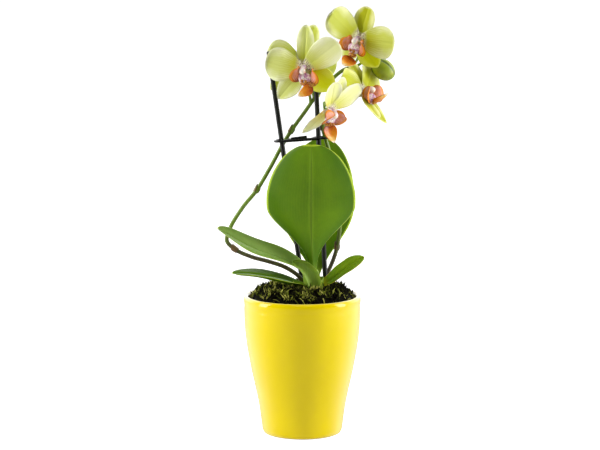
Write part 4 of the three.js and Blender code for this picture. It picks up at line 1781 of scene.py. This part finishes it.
@dataclass
class Studio:
    """The camera, the floor and the lights."""

    camera_at: tuple[float, float, float] = (-0.0021, -2.1, 0.493)
    camera_down: float = 8.06
    lens: float = 137.2
    fill: float = 0.24
    mirrored: float = 0.05
    mirrored_behind: float = 3.0
    turn_from: float = 0.1
    turn_to: float = 0.6
    backdrop: float = 1.05
    glow: float = 0.92
    floor_half: float = 6.0
    floor_drop: float = 0.0002
    floor_shade: Colour = (0.8, 0.8, 0.8)
    aim: tuple[float, float, float] = (0, 0, 0.2)
    lamps: tuple = (
        ("left_box", (-1.35, -0.22, 0.55), (0.5, 1.2), 22.0),
        ("right_box", (1.35, -0.2, 0.55), (0.5, 1.2), 21.5),
        ("top_box", (0, -0.9, 1.8), (1.0, 0.8), 7.0),
    )

    def camera(self) -> None:
        """Places the camera."""
        data = bpy.data.cameras.new("camera")
        data.lens = self.lens
        camera = bpy.data.objects.new("camera", data)
        camera.location = self.camera_at
        camera.rotation_euler = (math.radians(90 - self.camera_down), 0, 0)
        bpy.context.scene.collection.objects.link(camera)
        bpy.context.scene.camera = camera

    def floor(self) -> None:
        """Lays the plain white floor."""
        data = bpy.data.meshes.new("floor")
        mesh = bmesh.new()
        bmesh.ops.create_grid(mesh, x_segments=1, y_segments=1, size=self.floor_half)
        mesh.to_mesh(data)
        mesh.free()
        floor = bpy.data.objects.new("floor", data)
        floor.location = (0, 0, -self.floor_drop)
        s = Shader("studio_floor")
        seen = s.node("ShaderNodeLightPath").outputs["Is Camera Ray"]
        s.put(Base_Color=(*self.floor_shade, 1), Roughness=0.7, Specular_IOR_Level=0.1)
        s.put(Emission_Color=(1, 1, 1, 1))
        s.put(Emission_Strength=s.math("MULTIPLY", seen, self.glow))
        data.materials.append(s.material)
        bpy.context.scene.collection.objects.link(floor)
        floor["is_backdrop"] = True

    def lamp(self, name: str, at: Sequence[float], size: tuple[float, float], watts: float) -> None:
        """Hangs a softbox that faces the object."""
        data = bpy.data.lights.new(name, "AREA")
        data.shape = "RECTANGLE"
        data.size, data.size_y = size
        data.energy = watts
        lamp = bpy.data.objects.new(name, data)
        lamp.location = at
        lamp.rotation_euler = (Vector(self.aim) - Vector(at)).to_track_quat("-Z", "Y").to_euler()
        bpy.context.scene.collection.objects.link(lamp)

    def world(self) -> None:
        """Makes a white surround that the object mirrors mostly where it lies behind the object."""
        world = bpy.data.worlds.new("studio")
        world.use_nodes = True
        tree = world.node_tree

        def between(share: object, low: object, high: object, **settings: object) -> bpy.types.NodeSocket:
            """Goes from low to high as a share goes from 0 to 1, or over the range in the settings."""
            made = tree.nodes.new("ShaderNodeMapRange")
            made.interpolation_type = "SMOOTHSTEP" if settings else "LINEAR"
            named = {"Value": share, "To Min": low, "To Max": high, **settings}
            for key, value in named.items():
                if isinstance(value, bpy.types.NodeSocket):
                    tree.links.new(value, made.inputs[key])
                else:
                    made.inputs[key].default_value = value
            return made.outputs["Result"]

        path = tree.nodes.new("ShaderNodeLightPath").outputs
        ways = tree.nodes.new("ShaderNodeSeparateXYZ")
        tree.links.new(tree.nodes.new("ShaderNodeTexCoord").outputs["Generated"], ways.inputs["Vector"])
        turn = {"From Min": self.turn_from, "From Max": self.turn_to}
        mirrored = between(ways.outputs["Y"], self.mirrored, self.mirrored_behind, **turn)
        unseen = between(path["Is Glossy Ray"], self.fill, mirrored)
        background = tree.nodes["Background"].inputs
        tree.links.new(between(path["Is Camera Ray"], unseen, self.backdrop), background["Strength"])
        background["Color"].default_value = (1, 1, 1, 1)
        bpy.context.scene.world = world

    def build(self) -> None:
        """Sets up the whole studio."""
        self.world()
        bpy.context.scene.view_settings.view_transform = "Standard"
        self.floor()
        for name, at, size, watts in self.lamps:
            self.lamp(name, at, size, watts)
        self.camera()


# ---------------------------------------------------------------- the orchid


YELLOW = TepalFinish("tepal_yellow", "B2BA18", "D2DA7C", "EEF2BE")
REAR = TepalFinish("tepal_rear", "A9B410", "C6D052", "E4EAA0")
# Painted shade: a deeper, greener copy of the tepal finish for lower sepals that sit in shade behind the
# petals.
SHADED_DEEP = TepalFinish("tepal_deep_shaded", "B8C200", "D2DA00", "E6EC5A")
# Painted light: a paler copy of the tepal finish for the left flower's right petal, which is lit from behind.
LIT_PALE = TepalFinish("tepal_pale_lit", "C6CE48", "E8ECA6", "F6F8CC")
# Painted shade: a darker olive copy of the tepal finish for the top flower's upper sepal.
SHADED_OLIVE = TepalFinish("tepal_olive_shaded", "989E00", "B2B612", "E6E8A0")
# Painted light: a brighter copy of the cream finish that lightens the low flower's left sepal, which faces
# down into shade.
LIT_BRIGHT = TepalFinish("tepal_bright_lit", "E6E86C", "FAFAB4", "FFFFDC")
TOP = TepalFinish("tepal_top", "AEB606", "D2DA62", "EEF2B4")
CREAM = TepalFinish("tepal_cream", "DCDE62", "F2F4AC", "FBFBD6")
WARM = TepalFinish("tepal_warm", "A2A606", "B8BC24", "E6EA98")

FLOWERS = (
    Flower(
        "flower_left",
        at=(1.6, -15, 342), yaw=-10, nod=12, roll=4,
        upper=(37, 16.5), lower=((37, 20), (31, 25)), petals=((29, 32), (34, 27)),
        low=(144, 122), wing=(84, 49), finish=YELLOW,
        lower_bend=-8, special={"right_sepal": SHADED_DEEP, "right_petal": LIT_PALE}, lip_shift=2.4,
        lip_roll=4, tongue_roll=58, tongue_shift=8, tongue_pitch=146, tongue_drop=2,
        tongue_width=11, seed=1.0,
    ),
    Flower(
        "flower_top",
        at=(52, 8, 367), yaw=-26, nod=8, roll=18,
        upper=(28.5, 21), lower=((26, 16), (28, 24)), petals=((29.5, 31), (29, 31)),
        low=(158, 131), wing=(66, 77), finish=TOP,
        special={"right_sepal": SHADED_DEEP, "dorsal_sepal": SHADED_OLIVE}, tongue_roll=16, tongue_shift=1,
        tongue_pitch=112, tongue_drop=5, seed=2.0,
    ),
    Flower(
        "flower_low",
        at=(24.5, -24, 305.6), yaw=42, nod=36, roll=8,
        upper=(30, 17), lower=((32, 18), (24, 13)), petals=((27, 18), (29, 28)),
        low=(170, 134), wing=(28, 36), finish=CREAM,
        upper_bend=-20, lower_bend=-20, special={"left_sepal": LIT_BRIGHT}, lip_shift=2,
        tongue_roll=-28, tongue_shift=-1.5, tongue_pitch=140, seed=3.0,
    ),
    Flower(
        "flower_right",
        at=(57, 4, 318), yaw=55, nod=-20, roll=0,
        upper=(29, 21), lower=((30, 19), (33, 15)), petals=((27, 29), (26, 29)),
        low=(164, 160), wing=(60, 52), finish=WARM,
        lower_lift=(27, 12), lower_bend=6, lower_cup=0.6, tongue_pitch=88, seed=4.0,
    ),
    Flower(
        "flower_rear",
        at=(-0.5, 29, 344), yaw=-160, nod=4, roll=-20,
        upper=(34, 18), lower=((33, 18), (38, 20)), petals=((28, 30), (28, 30)),
        low=(135, 146), wing=(70, 92), finish=REAR,
        seed=5.0,
    ),
)

LEAVES = (
    Leaf(
        "leaf_front",
        (
            (10.6, -10.5, 145), (9.8, -12, 159), (8.6, -17, 182),
            (8, -25, 215), (8.2, -33, 248), (8, -38, 274.5),
        ),
        up=(0, 1, 0.15), half_width=43.5, petiole=4.2, fold=(22, 2), curl=-14,
        widest=0.5, rise=4, seed=1.0,
    ),
    Leaf(
        "leaf_back",
        (
            (12, 7.2, 144), (12.6, 17, 156), (12.6, 27, 176),
            (13.6, 36, 206), (17.6, 44, 243), (21.4, 50, 271.5),
        ),
        up=(0, -1, 0.2), half_width=35, petiole=4, fold=(20, 6), curl=10,
        rise=1.8, seed=2.0,
    ),
    Leaf(
        "leaf_left_long",
        (
            (3.6, -6, 151.4), (-6, -10, 158.6), (-23, -14, 166.6),
            (-40, -18, 173.8), (-56, -21, 182), (-78, -25, 196.4),
        ),
        up=(0, -0.5, 1), half_width=13.6, petiole=6, fold=(38, 26), curl=8,
        widest=0.45, rise=0.8, seed=3.0,
        # Painted sheen: a paler, greyer copy of the leaf finish stands for the sheen on this leaf's waxy
        # face.
        finish=LeafFinish("leaf_pale_sheen", "68882E", "92B058", "B4CA8A", "BCD26A", 0.34),
    ),
    Leaf(
        "leaf_left_low",
        ((0.8, -9, 139.6), (-9, -12, 142), (-24, -16, 146.6), (-40, -20, 151), (-64.5, -26, 154.4)),
        up=(0, -0.2, 1), half_width=12, petiole=5, fold=(44, 30), curl=14,
        widest=0.45, rise=0.9, seed=4.0,
    ),
    Leaf(
        "leaf_right_short",
        ((20.6, -2.5, 140), (29, -3, 146), (38, -2.4, 153.6), (48, -0.6, 161), (57.4, 1.6, 165.6)),
        up=(-0.45, -0.75, 0.6), half_width=8, petiole=4.4, fold=(40, 18), curl=6,
        widest=0.6, rise=0.8, thickness=1.6, seed=5.0,
        finish=LeafFinish("leaf_young", "62860A", "88AA0E", "A0BC34", "D0C030"),
    ),
)

STEMS = (
    FlowerStem(
        "flower_stem_left",
        (
            (1.2, 2.6, 141), (-3.5, 1.5, 147.5), (-16, 3, 155.6),
            (-32, 5, 160.8), (-47, 7, 164.6), (-62, 8, 171.2),
            (-70.2, 9, 179.4), (-67.4, 10, 191), (-55.2, 11, 211), (-42.6, 12, 226.4), (-30, 12.5, 247.4),
            (-17.9, 12.8, 269.8), (-10.4, 13, 281.9), (1.6, 13, 298.6), (14.6, 12.9, 316.7), (26.6, 14, 329),
            (38.6, 16.5, 338.5), (52, 19, 341.5),
        ),
        (((-62, 8, 171.2), 2.5), ((-42.6, 12, 226.4), 2.4), ((-10.4, 13, 281.9), 2.6)),
        (
            ((8, 13, 307.5), (6, 8, 320), (3, -2, 333), (1.7, -11, 341)),
            ((11, 13, 312), (9, 18, 321), (3, 22, 332), (-2.6, 24.6, 342)),
            ((46, 16.6, 340.5), (52, 22, 350), (52.6, 19, 362), (50.8, 12.4, 366.6)),
            ((50, 18.8, 341.4), (57, 20.4, 345.2), (63.4, 21.2, 346)),
        ),
    ),
    FlowerStem(
        "flower_stem_right",
        (
            (15.4, 7.6, 131), (17.6, 12.4, 137.5), (22.2, 13.6, 146), (28.4, 14, 159.3), (32.4, 14, 172.2),
            (35, 14.5, 190), (35.6, 14.5, 212.3), (29.5, 14, 247), (22.4, 12.6, 271.7), (19.2, 12.2, 284.8),
            (20.5, 9.6, 297), (26, 6.4, 307),
        ),
        (((32.4, 14, 172.2), 2.5), ((19.2, 12.2, 284.8), 2.6)),
        (
            ((20, 10.8, 293.5), (20.6, 3, 302), (20, -8, 310), (22.4, -19.8, 308.6)),
            ((24, 7.6, 303.6), (33, 10, 312), (44, 8, 318), (51.6, 4, 317.4)),
        ),
    ),
)


@dataclass
class Orchid:
    """The whole part."""

    stakes: tuple = (
        Stake("stake_left", (-31.1, 356.3), (0.2, 139.8)),
        Stake("stake_right", (11.2, 355.4), (21.7, 138.8)),
    )
    plain: tuple = field(default_factory=lambda: (CoverPot(), GrowPot(), Moss(), PlantStem(), Clip(), Bud()))

    def build(self) -> None:
        """Builds every piece."""
        for item in (*self.plain, *self.stakes, *STEMS, *LEAVES):
            item.build()
        Bark().dress()
        lip = (LobeFinish().build(), MidLobeFinish().build(), CallusFinish().build(), ThroatFinish().build())
        column = ColumnFinish().build()
        for flower in FLOWERS:
            flower.build(lip, column)


def write_sizes() -> None:
    """Gathers the CAD box and the box of the finished visual, without writing them."""
    boxes = {
        key: [list(corner) for corner in box] for key, box in (("cad", CAD_BOX), ("visual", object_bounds()))
    }


def main() -> None:
    """Builds the orchid and its studio."""
    logging.basicConfig(level=logging.INFO, format="%(name)s: %(message)s")
    Orchid().build()
    Studio().build()
    write_sizes()


if __name__ == "__main__":
    main()
